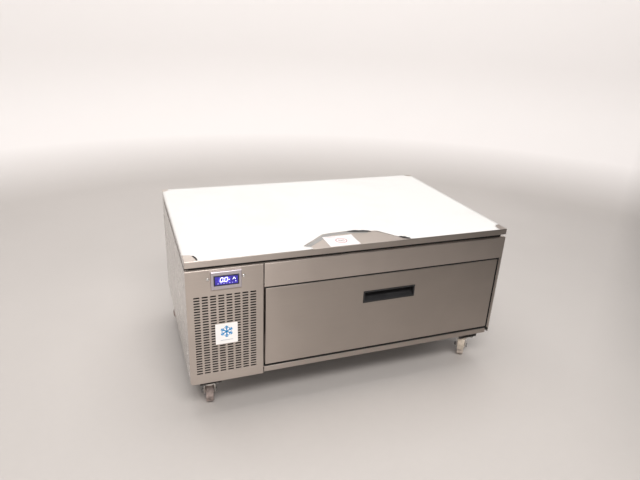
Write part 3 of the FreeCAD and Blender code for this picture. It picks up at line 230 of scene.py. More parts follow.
def plywood(name="plywood_core"):
    ply = Surface(name, (0.55, 0.4, 0.25), 0.7)
    layers = ply.noise(1.0, 3.0, stretch=(14.0, 14.0, 600.0))
    ply.feed("Base Color", ply.blend(ply.spread(layers, 0.35, 0.65), (0.36, 0.23, 0.12), (0.66, 0.5, 0.33)))
    return ply.bump((layers, 0.1)).made


def foam(name="insulating_foam"):
    cellular = Surface(name, (0.82, 0.74, 0.46), 0.85)
    pores, _ = cellular.cells(700.0)
    drift = cellular.noise(20.0)
    cellular.feed("Base Color", cellular.blend(drift, (0.74, 0.62, 0.34), (0.87, 0.8, 0.56)))
    return cellular.bump((pores, 0.25)).made


def fins(name="aluminium_fins", clean=(0.72, 0.72, 0.73), dusty=(0.36, 0.34, 0.31)):
    """Metal fins, with the dust that air carries into them."""
    metal = Surface(name, clean, 0.38, 1.0)
    ripple = metal.noise(1.0, 2.0, stretch=(1100.0, 30.0, 30.0))
    dust = metal.noise(18.0, 5.0)
    metal.feed("Base Color", metal.blend(metal.spread(dust, 0.4, 0.75), clean, dusty))
    metal.feed("Roughness", metal.spread(dust, 0.4, 0.75, 0.3, 0.7))
    return metal.bump((ripple, 0.05)).made


def copper(name="copper_tube"):
    metal = Surface(name, (0.72, 0.4, 0.25), 0.3, 1.0)
    bright, brown = (0.78, 0.42, 0.27), (0.34, 0.17, 0.1)
    tarnish = metal.noise(40.0, 5.0, 0.6)
    metal.feed("Base Color", metal.blend(metal.spread(tarnish, 0.4, 0.7), bright, brown))
    metal.feed("Roughness", metal.spread(tarnish, 0.4, 0.7, 0.22, 0.5))
    return metal.bump((tarnish, 0.05)).made


def glowing(name, colour, strength, spill=None):
    """A lit part of the controller's display; its colour varies a little over the glass."""
    lit = Surface(name, colour, 0.25, Emission_Strength=strength)
    pattern = lit.noise(90.0, 2.0)
    shade = lit.blend(lit.spread(pattern, 0.35, 0.65), spill or tuple(c * 0.85 for c in colour), colour)
    lit.feed("Base Color", shade)
    lit.feed("Emission Color", shade)
    return lit.made


# The panels' steel differs in base colour: the fascia, worktop, side and cover tones are lighter and darker copies
# of the front's steel, painting the light each panel gets.
STEEL_FRONT = stainless("stainless_front", "X", 0.4, 0.5)
STEEL_FASCIA = stainless("stainless_fascia", "X", 0.4, 0.5, (0.63, 0.56, 0.51))
STEEL_TOP = stainless("stainless_top", "X", 0.38, 0.48, (0.57, 0.51, 0.465))
STEEL_SIDE = stainless("stainless_side", "Y", 0.22, 0.32, (0.66, 0.63, 0.605), 0.5, 0.003)
STEEL_COVER = stainless("stainless_cover", "X", 0.4, 0.5, (0.51, 0.452, 0.408))
# The bezel's lighter lilac tone paints the display's glow on the steel around it.
STEEL_BEZEL = stainless("stainless_bezel", "X", 0.28, 0.36, (0.62, 0.58, 0.63), 0.4)
GALVANISED = galvanised()
# The base pan and condenser shroud take the sheet at 0.3 of its tone: partly grime, partly painted shade under the
# cabinet and behind the grille.
GRIMY_SHADED_SHEET = galvanised("galvanised_grimy_shaded", 0.3)
ZINC = zinc_plate()
CASTOR_ZINC = zinc_plate("castor_zinc", 0.44, 0.6)
SCREW = screw_metal()
BOLT = screw_metal("bolt_metal", 0.35, 0.5)
FILM = film_top()
FILM_UNDERSIDE = plain("film_black", (0.012, 0.012, 0.013), 0.32, 0.2, 40.0, 0.05, 300.0)
FILM_TEAR_GREY = plain("film_tear_grey_strip", (0.25, 0.247, 0.24), 0.42, 0.1, 25.0, 0.08, 220.0)
BOARD = plain("black_board", (0.022, 0.021, 0.02), 0.8, 0.25, 60.0, 0.12, 350.0)
PLYWOOD = plywood()
BADGE = plain("badge_white", (0.93, 0.925, 0.915), 0.22, 0.02, 30.0, 0.01, 500.0, Coat_Weight=0.4)
BADGE_BLUE = plain("badge_blue", (0.015, 0.27, 0.6), 0.25, 0.1, 60.0, 0.01, 500.0, Coat_Weight=0.4)
BADGE_GREY = plain("badge_grey", (0.5, 0.54, 0.58), 0.3, 0.06, 60.0, 0.01, 500.0)
LABEL = plain("label_paper", (0.72, 0.69, 0.69), 0.5, 0.03, 60.0, 0.02, 700.0)
LABEL_PINK = plain("label_pink", (0.36, 0.09, 0.12), 0.5, 0.12, 120.0, 0.01, 700.0)
LABEL_INK = plain("label_ink", (0.05, 0.035, 0.045), 0.5, 0.1, 120.0, 0.01, 700.0)
CONTROLLER = plain("controller_plastic", (0.02, 0.02, 0.045), 0.35, 0.15, 60.0, 0.03, 900.0)
LCD = glowing("lcd_glass", (0.035, 0.025, 0.3), 0.8, (0.02, 0.014, 0.17))
LCD_GLOW = glowing("lcd_glow", (0.07, 0.05, 0.55), 0.75, (0.04, 0.03, 0.33))
LIT_WHITE = glowing("lit_segments", (0.9, 0.92, 1.0), 1.6, (0.8, 0.84, 1.0))
LIT_LILAC = glowing("lit_icons", (0.5, 0.48, 0.95), 0.7, (0.4, 0.36, 0.85))
WHITE_PLASTIC = plain("white_plastic", (0.78, 0.78, 0.76), 0.34, 0.03, 12.0, 0.05, 320.0)
FOAM = foam()
FINS = fins()
# The condenser's near-black fins paint the shade inside the bay behind the grille; the lighter dust on them is
# real.
SHADED_DUSTY_FINS = fins("dusty_fins_painted_shade", (0.05, 0.05, 0.052), (0.09, 0.083, 0.075))
COMPRESSOR = plain("compressor_paint", (0.016, 0.016, 0.017), 0.3, 0.2, 25.0, 0.12, 260.0, Coat_Weight=0.3)
RUBBER = plain("black_rubber", (0.028, 0.027, 0.026), 0.72, 0.25, 50.0, 0.1, 400.0)
GASKET = plain("gasket_grey", (0.2, 0.2, 0.21), 0.6, 0.08, 40.0, 0.05, 500.0)
COPPER = copper()
BLACK_PLASTIC = plain("black_plastic", (0.02, 0.02, 0.021), 0.42, 0.2, 30.0, 0.06, 900.0)
HANDLE_PLASTIC = plain("handle_plastic", (0.014, 0.014, 0.015), 0.36, 0.15, 30.0, 0.04, 900.0)
WHEEL_PLASTIC = plain("wheel_plastic", (0.5, 0.42, 0.39), 0.45, 0.12, 60.0, 0.08, 500.0)
# The chassis rails' dark grey is partly their paint and partly painted shade under the cabinet.
CHASSIS_SHADE_GREY = plain("chassis_paint", (0.12, 0.115, 0.108), 0.5, 0.2, 20.0, 0.08, 500.0)
FILTER_FOAM = plain("filter_foam", (0.008, 0.008, 0.008), 0.95, 0.3, 60.0, 0.4, 420.0)
# The toe guard's tan tone paints the warm reflection seen on the castor's front plate.
GUARD_REFLECTION_TAN = plain("guard_painted_reflection", (0.62, 0.55, 0.46), 0.4, 0.15, 90.0, 0.06, 500.0, 0.3)
# Lit and shaded copies of one tyre rubber: the right-hand castors' lighter tone paints light, the left-hand
# castors' darker tone paints shade.
TYRE = plain("tyre_rubber", (0.56, 0.49, 0.43), 0.62, 0.35, 60.0, 0.15, 350.0)
TYRE_SHADED = plain("tyre_rubber_shaded", (0.29, 0.235, 0.215), 0.66, 0.5, 60.0, 0.15, 350.0)

FINISH = {
    "stainless": STEEL_FRONT, "galvanised_steel": GALVANISED, "zinc_steel": ZINC, "screw_steel": SCREW,
    "protective_film": FILM, "black_board": BOARD, "plywood": PLYWOOD, "badge_white": BADGE,
    "controller_plastic": CONTROLLER, "display": LCD, "white_plastic": WHITE_PLASTIC, "foam": FOAM,
    "aluminium_fins": FINS, "compressor_black": COMPRESSOR, "chassis_paint": CHASSIS_SHADE_GREY,
    "black_rubber": RUBBER, "grey_rubber": GASKET, "copper": COPPER, "black_plastic": BLACK_PLASTIC,
    "wheel_plastic": WHEEL_PLASTIC, "tyre_rubber": TYRE,
}
SPECIAL_FINISH = {
    "worktop_skin": STEEL_TOP, "side_panel_left": STEEL_SIDE, "side_panel_right": STEEL_SIDE,
    "fascia_panel": STEEL_FASCIA, "engine_cover": STEEL_COVER, "handle_recess": HANDLE_PLASTIC,
    "controller_bezel": STEEL_BEZEL, "condenser_coil": SHADED_DUSTY_FINS, "base_pan": GRIMY_SHADED_SHEET,
    "condenser_shroud": GRIMY_SHADED_SHEET, "castor_bolts": BOLT,
}


def finish_of(node):
    if node.startswith("castor_fork"):
        return CASTOR_ZINC
    return SPECIAL_FINISH.get(node, FINISH[slot_of[node]])


# ---- mesh helpers


def new_piece(name, mesh, *finishes):
    piece = bpy.data.objects.new(name, mesh)
    bpy.context.scene.collection.objects.link(piece)
    for finish in finishes:
        mesh.materials.append(finish)
    return piece


def from_bmesh(name, shape, *finishes, smooth=True):
    mesh = bpy.data.meshes.new(name)
    shape.to_mesh(mesh)
    shape.free()
    if smooth:
        mesh.shade_smooth()
    return new_piece(name, mesh, *finishes)


def soften(piece, width, segments=2, angle=35.0):
    """Breaks a piece's sharp edges and keeps its flat faces flat."""
    bevel = piece.modifiers.new("broken_edges", "BEVEL")
    bevel.width = width * MM
    bevel.segments = segments
    bevel.limit_method = "ANGLE"
    bevel.angle_limit = math.radians(angle)
    bevel.use_clamp_overlap = False
    normals = piece.modifiers.new("flat_faces", "WEIGHTED_NORMAL")
    normals.weight = 100
    normals.keep_sharp = False
    return piece


def belongs(piece, body, slot, *replaced):
    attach(piece, body)
    if replaced:
        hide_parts(*replaced)
    return piece


def softened_copy(node, width, segments=2):
    """A copy of a CAD node with its edges broken, shown in its place."""
    shape = bmesh.new()
    shape.from_mesh(nodes[node].data)
    bmesh.ops.remove_doubles(shape, verts=shape.verts, dist=0.002 * MM)
    bmesh.ops.dissolve_limit(shape, angle_limit=math.radians(0.5), verts=shape.verts, edges=shape.edges)
    piece = from_bmesh(node + "_finished", shape, finish_of(node))
    for stale in ("custom_normal", "sharp_face", "sharp_edge"):
        if stale in piece.data.attributes:
            piece.data.attributes.remove(piece.data.attributes[stale])
    piece.data.shade_smooth()
    for polygon in piece.data.polygons:
        polygon.material_index = 0
    soften(piece, width, segments)
    return belongs(piece, body_of[node], slot_of[node], node)


def lathe(shape, profile, turn, steps=64):
    """Turns a closed profile of (radius, height) points about Z, then moves it by a matrix."""
    rings = []
    for i in range(steps):
        angle = 2 * math.pi * i / steps
        rings.append([shape.verts.new(turn @ Vector((r * math.cos(angle), r * math.sin(angle), h)))
                      for r, h in profile])
    count = len(profile)
    for i in range(steps):
        here, there = rings[i], rings[(i + 1) % steps]
        for j in range(count):
            k = (j + 1) % count
            shape.faces.new((here[j], there[j], there[k], here[k]))


def slab(shape, outline, low, high, place, material_index=0):
    """A flat plate: an outline of (x, y) points between two heights, moved by a matrix."""
    bottom = [shape.verts.new(place @ Vector((x, y, low))) for x, y in outline]
    top = [shape.verts.new(place @ Vector((x, y, high))) for x, y in outline]
    faces = [shape.faces.new(list(reversed(bottom))), shape.faces.new(top)]
    for i in range(len(outline)):
        j = (i + 1) % len(outline)
        faces.append(shape.faces.new((bottom[i], bottom[j], top[j], top[i])))
    for face in faces:
        face.material_index = material_index


def rounded_rectangle(width, height, radius, steps=6):
    points = []
    for cx, cy, start in ((1, 1, 0), (-1, 1, 90), (-1, -1, 180), (1, -1, 270)):
        for i in range(steps + 1):
            angle = math.radians(start + 90 * i / steps)
            points.append((cx * (width / 2 - radius) + radius * math.cos(angle),
                           cy * (height / 2 - radius) + radius * math.sin(angle)))
    return points


def ring_points(radius, steps):
    angles = [math.radians(360.0 * i / steps) for i in range(steps)]
    return [(radius * math.cos(a), radius * math.sin(a)) for a in angles]


def facing_front(x, z, y):
    """Plane coordinates (right, up, out) at a point of the cabinet's front."""
    return Matrix(((1, 0, 0, x), (0, 0, -1, y), (0, 1, 0, z), (0, 0, 0, 1)))


# ---- sheet metal and castors: CAD nodes with broken edges

EDGE_WIDTHS = {
    "engine_cover": 0.14, "fascia_panel": 0.4, "drawer_surround": 0.35, "drawer_front": 0.3,
    "side_panel_left": 0.4, "side_panel_right": 0.4, "rear_panel": 0.35, "controller_bezel": 0.35,
    "handle_recess": 0.5, "chassis_rails": 1.2, "castor_plates": 0.5, "castor_bolts": 0.5,
    "worktop_spacer": 0.6, "mains_inlet": 0.4, "base_pan": 0.35, "drawer_frame": 0.5,
    "cabinet_runners": 0.4, "middle_runners": 0.4, "drawer_runners": 0.4, "container_liner": 0.5,
    "container_shell": 0.4, "lid_shell": 0.5, "cover_badge": 0.2, "controller_body": 0.3,
    "condenser_shroud": 0.3, "condensate_tray": 0.6, "evaporator_shroud": 0.4,
}
for castor in CASTORS:
    EDGE_WIDTHS["castor_fork_" + castor] = 0.6
    EDGE_WIDTHS["castor_wheel_" + castor] = 0.5
    if "brake_pedal_" + castor in nodes:
        EDGE_WIDTHS["brake_pedal_" + castor] = 0.5


def finish_cad_nodes():
    for name, node in nodes.items():
        node.data.materials.clear()
        node.data.materials.append(finish_of(name))
        for polygon in node.data.polygons:
            polygon.material_index = 0
    worktop = nodes["worktop_skin"].data
    # The worktop's end faces take the side steel; its lighter base colour paints light on them.
    worktop.materials.append(STEEL_SIDE)
    for polygon in worktop.polygons:
        polygon.material_index = 1 if abs(polygon.normal.x) > 0.7 else 0
    for name, width in EDGE_WIDTHS.items():
        piece = softened_copy(name, width)
        if name.startswith("castor_fork"):
            dull_axle_ends(piece, name[len("castor_fork_"):])
        if name == "drawer_surround":
            paint_shade_in_opening(piece)


def paint_shade_in_opening(surround):
    """Paints shade on the surround's folds into the drawer opening: faces that face up or to the left take the
    black rubber finish.
    """
    surround.data.materials.append(RUBBER)
    for polygon in surround.data.polygons:
        if polygon.normal.z > 0.75 or polygon.normal.x < -0.75:
            polygon.material_index = 1


def dull_axle_ends(fork, castor):
    """Gives the axle bolt's head and nut their own duller finish."""
    fork.data.materials.append(BOLT)
    to_axle = axle_frame(castor).inverted()
    for polygon in fork.data.polygons:
        spot = to_axle @ polygon.center
        if abs(spot.z) > 18.55 * MM and math.hypot(spot.x, spot.y) < 9.0 * MM:
            polygon.material_index = 1


# ---- the worktop's film and label

FILM_TEAR = [(385, 0), (385, 15), (363, 27), (450, 102), (480, 108), (540, 113), (615, 98),
             (640, 93), (670, 55), (690, 30), (710, 10), (720, 0)]
FILM_REST = [(1070, 0), (1074, 30), (1085, 42), (1100, 47), (1100, 675), (1080, 680), (1068, 700),
             (25, 700), (18, 680), (0, 665), (0, 50), (22, 46), (36, 28), (38, 0)]


def walked(points, step, closed):
    """Points spaced evenly along straight lines between the given ones."""
    ends = points[1:] + points[:1] if closed else points[1:]
    spaced = []
    for a, b in zip(points, ends):
        count = max(1, round(math.dist(a, b) / step))
        spaced += [(a[0] + (b[0] - a[0]) * i / count, a[1] + (b[1] - a[1]) * i / count) for i in range(count)]
    return spaced if closed else spaced + [points[-1]]


def inside(point, outline):
    """Whether a point lies in a closed outline."""
    x, y = point
    crossings = False
    for (x1, y1), (x2, y2) in zip(outline, outline[1:] + outline[:1]):
        if (y1 > y) != (y2 > y) and x < (x2 - x1) * (y - y1) / (y2 - y1) + x1:
            crossings = not crossings
    return crossings


def distance_to(point, line):
    """How far a point is from an open line."""
    nearest = 1e9
    for a, b in zip(line, line[1:]):
        length = math.dist(a, b) ** 2
        along = (point[0] - a[0]) * (b[0] - a[0]) + (point[1] - a[1]) * (b[1] - a[1])
        t = min(1, max(0, along / length)) if length else 0
        nearest = min(nearest, math.dist(point, (a[0] + (b[0] - a[0]) * t, a[1] + (b[1] - a[1]) * t)))
    return nearest


def film_rise(u, v):
    """The film's height over the steel in millimetres: it lifts along its tear and wrinkles a little."""
    wander = noise.noise(Vector((u / 90, v / 60, 0.3)))
    ripple = noise.noise(Vector((u / 26, v / 40, 4.0)))
    torn = distance_to((u, v), FILM_TEAR)
    lift = 1.1 * math.exp(-torn / 9.0) * (0.6 + 0.8 * noise.noise(Vector((u / 30, v / 30, 8.0))))
    return 0.35 + max(0.0, 0.18 * wander) + 0.06 * ripple + max(0.0, lift)


def worktop_film():
    """One thin sheet over the worktop, white above and black below."""
    outline = walked(FILM_TEAR + FILM_REST, 6.0, True)
    ragged = []
    for u, v in outline:
        torn = 0 < v < 699 and 0 < u < 1099
        shift = 0.9 if torn else 0.0
        ragged.append((u + shift * noise.noise(Vector((u / 5, v / 5, 1))),
                       v + shift * noise.noise(Vector((u / 5, v / 5, 2)))))
    drawn = random.Random(7)
    inner = []
    pitch = 11.0
    for i in range(1, int(1100 / pitch)):
        for j in range(1, int(700 / pitch)):
            spot = (i * pitch + drawn.uniform(-2, 2), j * pitch + drawn.uniform(-2, 2))
            if inside(spot, ragged) and distance_to(spot, ragged + ragged[:1]) > 5.0:
                inner.append(spot)
    points = [Vector(p) for p in ragged + inner]
    ring = list(range(len(ragged)))
    verts, _, faces = delaunay_2d_cdt(points, [], [ring], 1, 1e-4)[:3]
    mesh = bpy.data.meshes.new("worktop_film_sheet")
    mesh.from_pydata([on_top(p.x, p.y, film_rise(p.x, p.y)) for p in verts], [], faces)
    mesh.shade_smooth()
    sheet = new_piece("worktop_film_sheet", mesh, FILM, FILM_UNDERSIDE)
    thickness = sheet.modifiers.new("thickness", "SOLIDIFY")
    thickness.thickness = 0.16 * MM
    thickness.offset = -1.0
    thickness.material_offset = 1
    thickness.material_offset_rim = 0
    return belongs(sheet, "cabinet", "protective_film", "worktop_film")


def film_curl(name, path, radius, turn=200.0):
    """A lifted edge that rolls back on itself and shows the film's black underside."""
    shape = bmesh.new()
    arcs = 12
    route = walked(path, 1.2, False)
    rows = []
    for i, (u, v) in enumerate(route):
        t = i / (len(route) - 1)
        after = route[min(i + 1, len(route) - 1)]
        before = route[max(i - 1, 0)]
        along = Vector((after[0] - before[0], after[1] - before[1])).normalized()
        across = Vector((-along.y, along.x))
        swell = math.sin(math.pi * min(1.0, 0.04 + t * 0.96)) ** 0.7
        fat = radius * (0.12 + 0.88 * swell) * (1 + 0.35 * noise.noise(Vector((t * 6, radius, 0))))
        row = []
        for j in range(arcs + 1):
            angle = math.radians(turn * j / arcs)
            reach = fat * 1.2 * math.sin(angle)
            rise = fat * (1 - math.cos(angle)) * 0.5 + 0.45
            row.append(shape.verts.new(on_top(u + across.x * reach, v + across.y * reach, rise)))
        rows.append(row)
    for one, two in zip(rows, rows[1:]):
        for j in range(arcs):
            shape.faces.new((one[j], one[j + 1], two[j + 1], two[j]))
    curl = from_bmesh(name, shape, FILM_UNDERSIDE)
    thickness = curl.modifiers.new("thickness", "SOLIDIFY")
    thickness.thickness = 0.18 * MM
    return belongs(curl, "cabinet", "protective_film")


FILM_CURLS = (
    ("film_curl_back", [(620, 92), (598, 99), (566, 105), (541, 111)], 4.6),
    ("film_curl_front", [(722, 3), (712, 11), (700, 22), (692, 30)], 3.6),
    ("film_curl_corner", [(38, 5), (36, 20), (32, 33), (27, 41)], 2.4),
)


def film_tear_grey_strip():
    """A thin grey strip laid on the steel along the left and top of the tear."""
    outer = [(385, 8), (366, 24), (452, 99), (482, 105), (540, 110), (612, 96)]
    inner = [(604, 84), (540, 96), (486, 92), (462, 84), (386, 22)]
    ragged = []
    for u, v in walked(outer + inner, 5.0, True):
        ragged.append((u + 0.8 * noise.noise(Vector((u / 6, v / 6, 5))),
                       v + 0.8 * noise.noise(Vector((u / 6, v / 6, 6)))))
    shape = bmesh.new()
    place = Matrix.Translation(on_top(0, 0)) @ Matrix.Scale(MM, 4)
    slab(shape, list(reversed(ragged)), 0.02, 0.22, place)
    bmesh.ops.recalc_face_normals(shape, faces=shape.faces)
    backing = from_bmesh("film_tear_grey_strip", shape, FILM_TEAR_GREY, smooth=False)
    return belongs(backing, "cabinet", "protective_film")


def worktop_label():
    """A plain paper label with a thin ring round three dots, and a short line."""
    width, height = 102.0, 80.0
    shape = bmesh.new()
    place = Matrix.Translation(on_top(494, 43, 0.1)) @ Matrix.Scale(MM, 4)
    columns, rows = 24, 18
    grid = []
    for i in range(columns + 1):
        column = []
        for j in range(rows + 1):
            x, y = width * (i / columns - 0.5), height * (j / rows - 0.5)
            corner = max(0.0, x / width + y / height - 0.72)
            rise = 0.25 + 22.0 * corner ** 2 + 0.05 * noise.noise(Vector((x / 20, y / 20, 9)))
            column.append(shape.verts.new(place @ Vector((x, y, rise))))
        grid.append(column)
    for i in range(columns):
        for j in range(rows):
            shape.faces.new((grid[i][j], grid[i + 1][j], grid[i + 1][j + 1], grid[i][j + 1]))
    paper = from_bmesh("worktop_label", shape, LABEL)
    thickness = paper.modifiers.new("thickness", "SOLIDIFY")
    thickness.thickness = 0.12 * MM
    thickness.offset = -1.0
    belongs(paper, "cabinet", "badge_white")

    marks = bmesh.new()
    for radius, thick in ((19.0, 2.6), (10.5, 1.2)):
        outer, inner = ring_points(radius, 64), ring_points(radius - thick, 64)
        for i in range(64):
            j = (i + 1) % 64
            slab(marks, [outer[i], outer[j], inner[j], inner[i]], 0.3, 0.36, place)
    for dot in (-5.2, 0.0, 5.2):
        slab(marks, [(x + dot, y) for x, y in ring_points(2.3, 20)], 0.3, 0.38, place, 1)
    slab(marks, [(x - 26.0, y + 31.0) for x, y in rounded_rectangle(36.0, 1.6, 0.7)], 0.3, 0.36, place)
    bmesh.ops.remove_doubles(marks, verts=marks.verts, dist=0.001 * MM)
    bmesh.ops.recalc_face_normals(marks, faces=marks.faces)
    belongs(from_bmesh("label_marks", marks, LABEL_PINK, LABEL_INK, smooth=False), "cabinet", "badge_white")


# ---- controller display and badge


SLANT = 0.12


def bar(length, thickness, angle, centre):
    """A bar with pointed ends, like one segment of a digit."""
    half, t = length / 2, thickness / 2
    outline = [(-half, 0), (-half + t, -t), (half - t, -t), (half, 0), (half - t, t), (-half + t, t)]
    c, s = math.cos(angle), math.sin(angle)
    return [(centre[0] + x * c - y * s, centre[1] + x * s + y * c) for x, y in outline]


def slanted(outline):
    """Leans an outline to the right, as display digits do."""
    return [(x + SLANT * z, z) for x, z in outline]


def digit(centre, width, height, thickness, lit):
    """The outlines of a seven-segment digit's lit bars."""
    x, z = centre
    quarter = height / 4
    up = math.pi / 2
    left, right, half = x - width / 2, x + width / 2, height / 2
    bars = {
        "a": ((x, z + half), width, 0), "g": ((x, z), width, 0), "d": ((x, z - half), width, 0),
        "f": ((left, z + quarter), half, up), "b": ((right, z + quarter), half, up),
        "e": ((left, z - quarter), half, up), "c": ((right, z - quarter), half, up),
    }
    gap = thickness * 0.25
    return [bar(bars[k][1] - gap, thickness, bars[k][2], bars[k][0]) for k in lit]


def controller_display():
    """The lit display: a dark indigo glass with a glow, a temperature, an arrow and a row of icons."""
    low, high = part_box("controller_display")
    centre_x, centre_z = (low.x + high.x) / 2, (low.z + high.z) / 2
    width, height = (high.x - low.x) / MM, (high.z - low.z) / MM
    face = facing_front(centre_x, centre_z, low.y) @ Matrix.Scale(MM, 4)
    glass = bmesh.new()
    slab(glass, rounded_rectangle(width, height, 1.2), -1.6, 0.0, face)
    belongs(from_bmesh("lcd_glass", glass, LCD, smooth=False), "cabinet", "display", "controller_display")

    shapes = bmesh.new()
    for column in (-14.4, -1.4):
        for outline in digit((column, 2.6), 7.8, 13.0, 1.8, "abcdef"):
            slab(shapes, slanted(outline), 0.0, 0.25, face)
    slab(shapes, slanted([(x - 7.7, z - 3.9) for x, z in rounded_rectangle(1.7, 1.7, 0.6)]), 0.0, 0.25, face)
    slab(shapes, [(x + 7.6, z + 1.6) for x, z in rounded_rectangle(4.2, 1.7, 0.6)], 0.0, 0.25, face)
    arrow = [(-4.8, -3.2), (0.0, 4.2), (4.8, -3.2), (3.1, -3.2), (0.0, 1.6), (-3.1, -3.2)]
    slab(shapes, [(x + 22.5, z + 4.0) for x, z in arrow], 0.0, 0.2, face)
    slab(shapes, [(x + 27.4, z - 5.6) for x, z in rounded_rectangle(2.2, 2.2, 1.0)], 0.0, 0.2, face)
    bmesh.ops.recalc_face_normals(shapes, faces=shapes.faces)
    belongs(from_bmesh("lcd_segments", shapes, LIT_WHITE, smooth=False), "cabinet", "display")

    icons = bmesh.new()
    for i in range(6):
        x = -24.5 + 8.4 * i
        outline = ring_points(1.2, 16) if i % 2 else rounded_rectangle(4.4, 1.5, 0.6)
        slab(icons, [(x + px, pz - 9.2) for px, pz in outline], 0.0, 0.18, face)
    bmesh.ops.recalc_face_normals(icons, faces=icons.faces)
    belongs(from_bmesh("lcd_icons", icons, LIT_LILAC, smooth=False), "cabinet", "display")

    glow = bmesh.new()
    slab(glow, [(x - 6.0, z + 1.4) for x, z in rounded_rectangle(36.0, 17.0, 8.0)], -0.2, 0.06, face)
    belongs(from_bmesh("lcd_backlight", glow, LCD_GLOW, smooth=False), "cabinet", "display")


def badge_emblem():
    """A blue six-armed snowflake over a short grey line, on the white badge."""
    low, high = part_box("cover_badge")
    x, z = (low.x + high.x) / 2, (low.z + high.z) / 2
    place = facing_front(x, z + 7 * MM, low.y) @ Matrix.Scale(MM, 4)
    shape = bmesh.new()
    reach, thick = 20.5, 3.6
    for arm in range(6):
        turn = math.radians(60 * arm + 30)
        middle = (reach / 2 * math.cos(turn), reach / 2 * math.sin(turn))
        slab(shape, bar(reach, thick, turn, middle), 0.0, 0.3, place)
        for along, twig in ((10.0, 8.4), (15.4, 5.6)):
            for side in (-1, 1):
                lean = turn + side * math.radians(55)
                root = (along * math.cos(turn), along * math.sin(turn))
                tip = (root[0] + twig / 2 * math.cos(lean), root[1] + twig / 2 * math.sin(lean))
                slab(shape, bar(twig, thick * 0.7, lean, tip), 0.0, 0.27, place)
    slab(shape, [(px, pz - 29.5) for px, pz in rounded_rectangle(38.0, 2.2, 1.0)], 0.0, 0.2, place, 1)
    bmesh.ops.recalc_face_normals(shape, faces=shape.faces)
    belongs(from_bmesh("badge_emblem", shape, BADGE_BLUE, BADGE_GREY, smooth=False), "cabinet", "badge_white")


# ---- screws


CAD_HEAD_HEIGHT = 2.4


def screw_head():
    """One domed head about Z with a cross cut into it, as a mesh in millimetres."""
    shape = bmesh.new()
    radius, height = 5.0, 2.6
    profile = [(radius, 0.0), (radius, 0.5)]
    profile += [(radius * math.cos(math.radians(a)), 0.5 + (height - 0.5) * math.sin(math.radians(a)))
                for a in range(15, 90, 15)]
    steps = 48
    rings = []
    for r, h in profile:
        rings.append([shape.verts.new(Vector((x, y, h))) for x, y in ring_points(r, steps)])
    for one, two in zip(rings, rings[1:]):
        for i in range(steps):
            j = (i + 1) % steps
            shape.faces.new((one[i], one[j], two[j], two[i]))
    shape.faces.new(list(reversed(rings[0])))
    tip = shape.verts.new(Vector((0, 0, height)))
    for i in range(steps):
        shape.faces.new((rings[-1][i], rings[-1][(i + 1) % steps], tip))
    head = from_bmesh("screw_head", shape, SCREW)
    cutter_shape = bmesh.new()
    arm, thick = 2.7, 0.55
    cross = [(arm, thick), (thick, thick), (thick, arm), (-thick, arm), (-thick, thick), (-arm, thick),
             (-arm, -thick), (-thick, -thick), (-thick, -arm), (thick, -arm), (thick, -thick), (arm, -thick)]
    slab(cutter_shape, cross, 1.1, 4.0, Matrix.Identity(4))
    cutter = from_bmesh("screw_cutter", cutter_shape, smooth=False)
    boolean = head.modifiers.new("cross", "BOOLEAN")
    boolean.object = cutter
    boolean.solver = "EXACT"
    made = bpy.data.meshes.new_from_object(head.evaluated_get(bpy.context.evaluated_depsgraph_get()))
    for scratch in (head, cutter):
        bpy.data.objects.remove(scratch)
    return made


def panel_screws():
    """Domed screws in place of the CAD ones, each turned a little differently."""
    head = screw_head()
    drawn = random.Random(3)
    source = bmesh.new()
    source.from_mesh(nodes["panel_screws"].data)
    bmesh.ops.remove_doubles(source, verts=source.verts, dist=0.002 * MM)
    shape = bmesh.new()
    for island in islands(source):
        lo = Vector([min(v.co[i] for v in island) for i in range(3)])
        hi = Vector([max(v.co[i] for v in island) for i in range(3)])
        size, centre = hi - lo, (lo + hi) / 2
        axis = max(range(3), key=lambda i: size[i])
        outward = Vector((0, 0, 0))
        outward[axis] = 1.0 if centre[axis] > 0 else -1.0
        face = centre.copy()
        face[axis] = (hi[axis] if centre[axis] > 0 else lo[axis]) - outward[axis] * CAD_HEAD_HEIGHT * MM
        turn = outward.to_track_quat("Z", "Y").to_matrix().to_4x4()
        spin = Matrix.Rotation(drawn.uniform(0, math.pi), 4, "Z")
        copy = head.copy()
        copy.transform(Matrix.Translation(face) @ turn @ spin @ Matrix.Scale(MM, 4))
        shape.from_mesh(copy)
    source.free()
    screws = from_bmesh("panel_screw_heads", shape, SCREW)
    soften(screws, 0.12, 1, 40)
    return belongs(screws, "cabinet", "screw_steel", "panel_screws")


def islands(shape):
    """The connected groups of a mesh's vertices."""
    left = set(shape.verts)
    while left:
        group, edge = set(), [left.pop()]
        while edge:
            vert = edge.pop()
            group.add(vert)
            for e in vert.link_edges:
                other = e.other_vert(vert)
                if other in left:
                    left.remove(other)
                    edge.append(other)
        yield group


# ---- castor wheels


def axle_frame(castor):
    """A matrix whose Z runs along the castor's axle, with its origin at the wheel's centre."""
    joint = joints["wheel_spin_" + castor]
    turn = Vector(joint["axis"]).to_track_quat("Z", "Y").to_matrix().to_4x4()
    return Matrix.Translation(Vector(joint["pos_m"])) @ turn


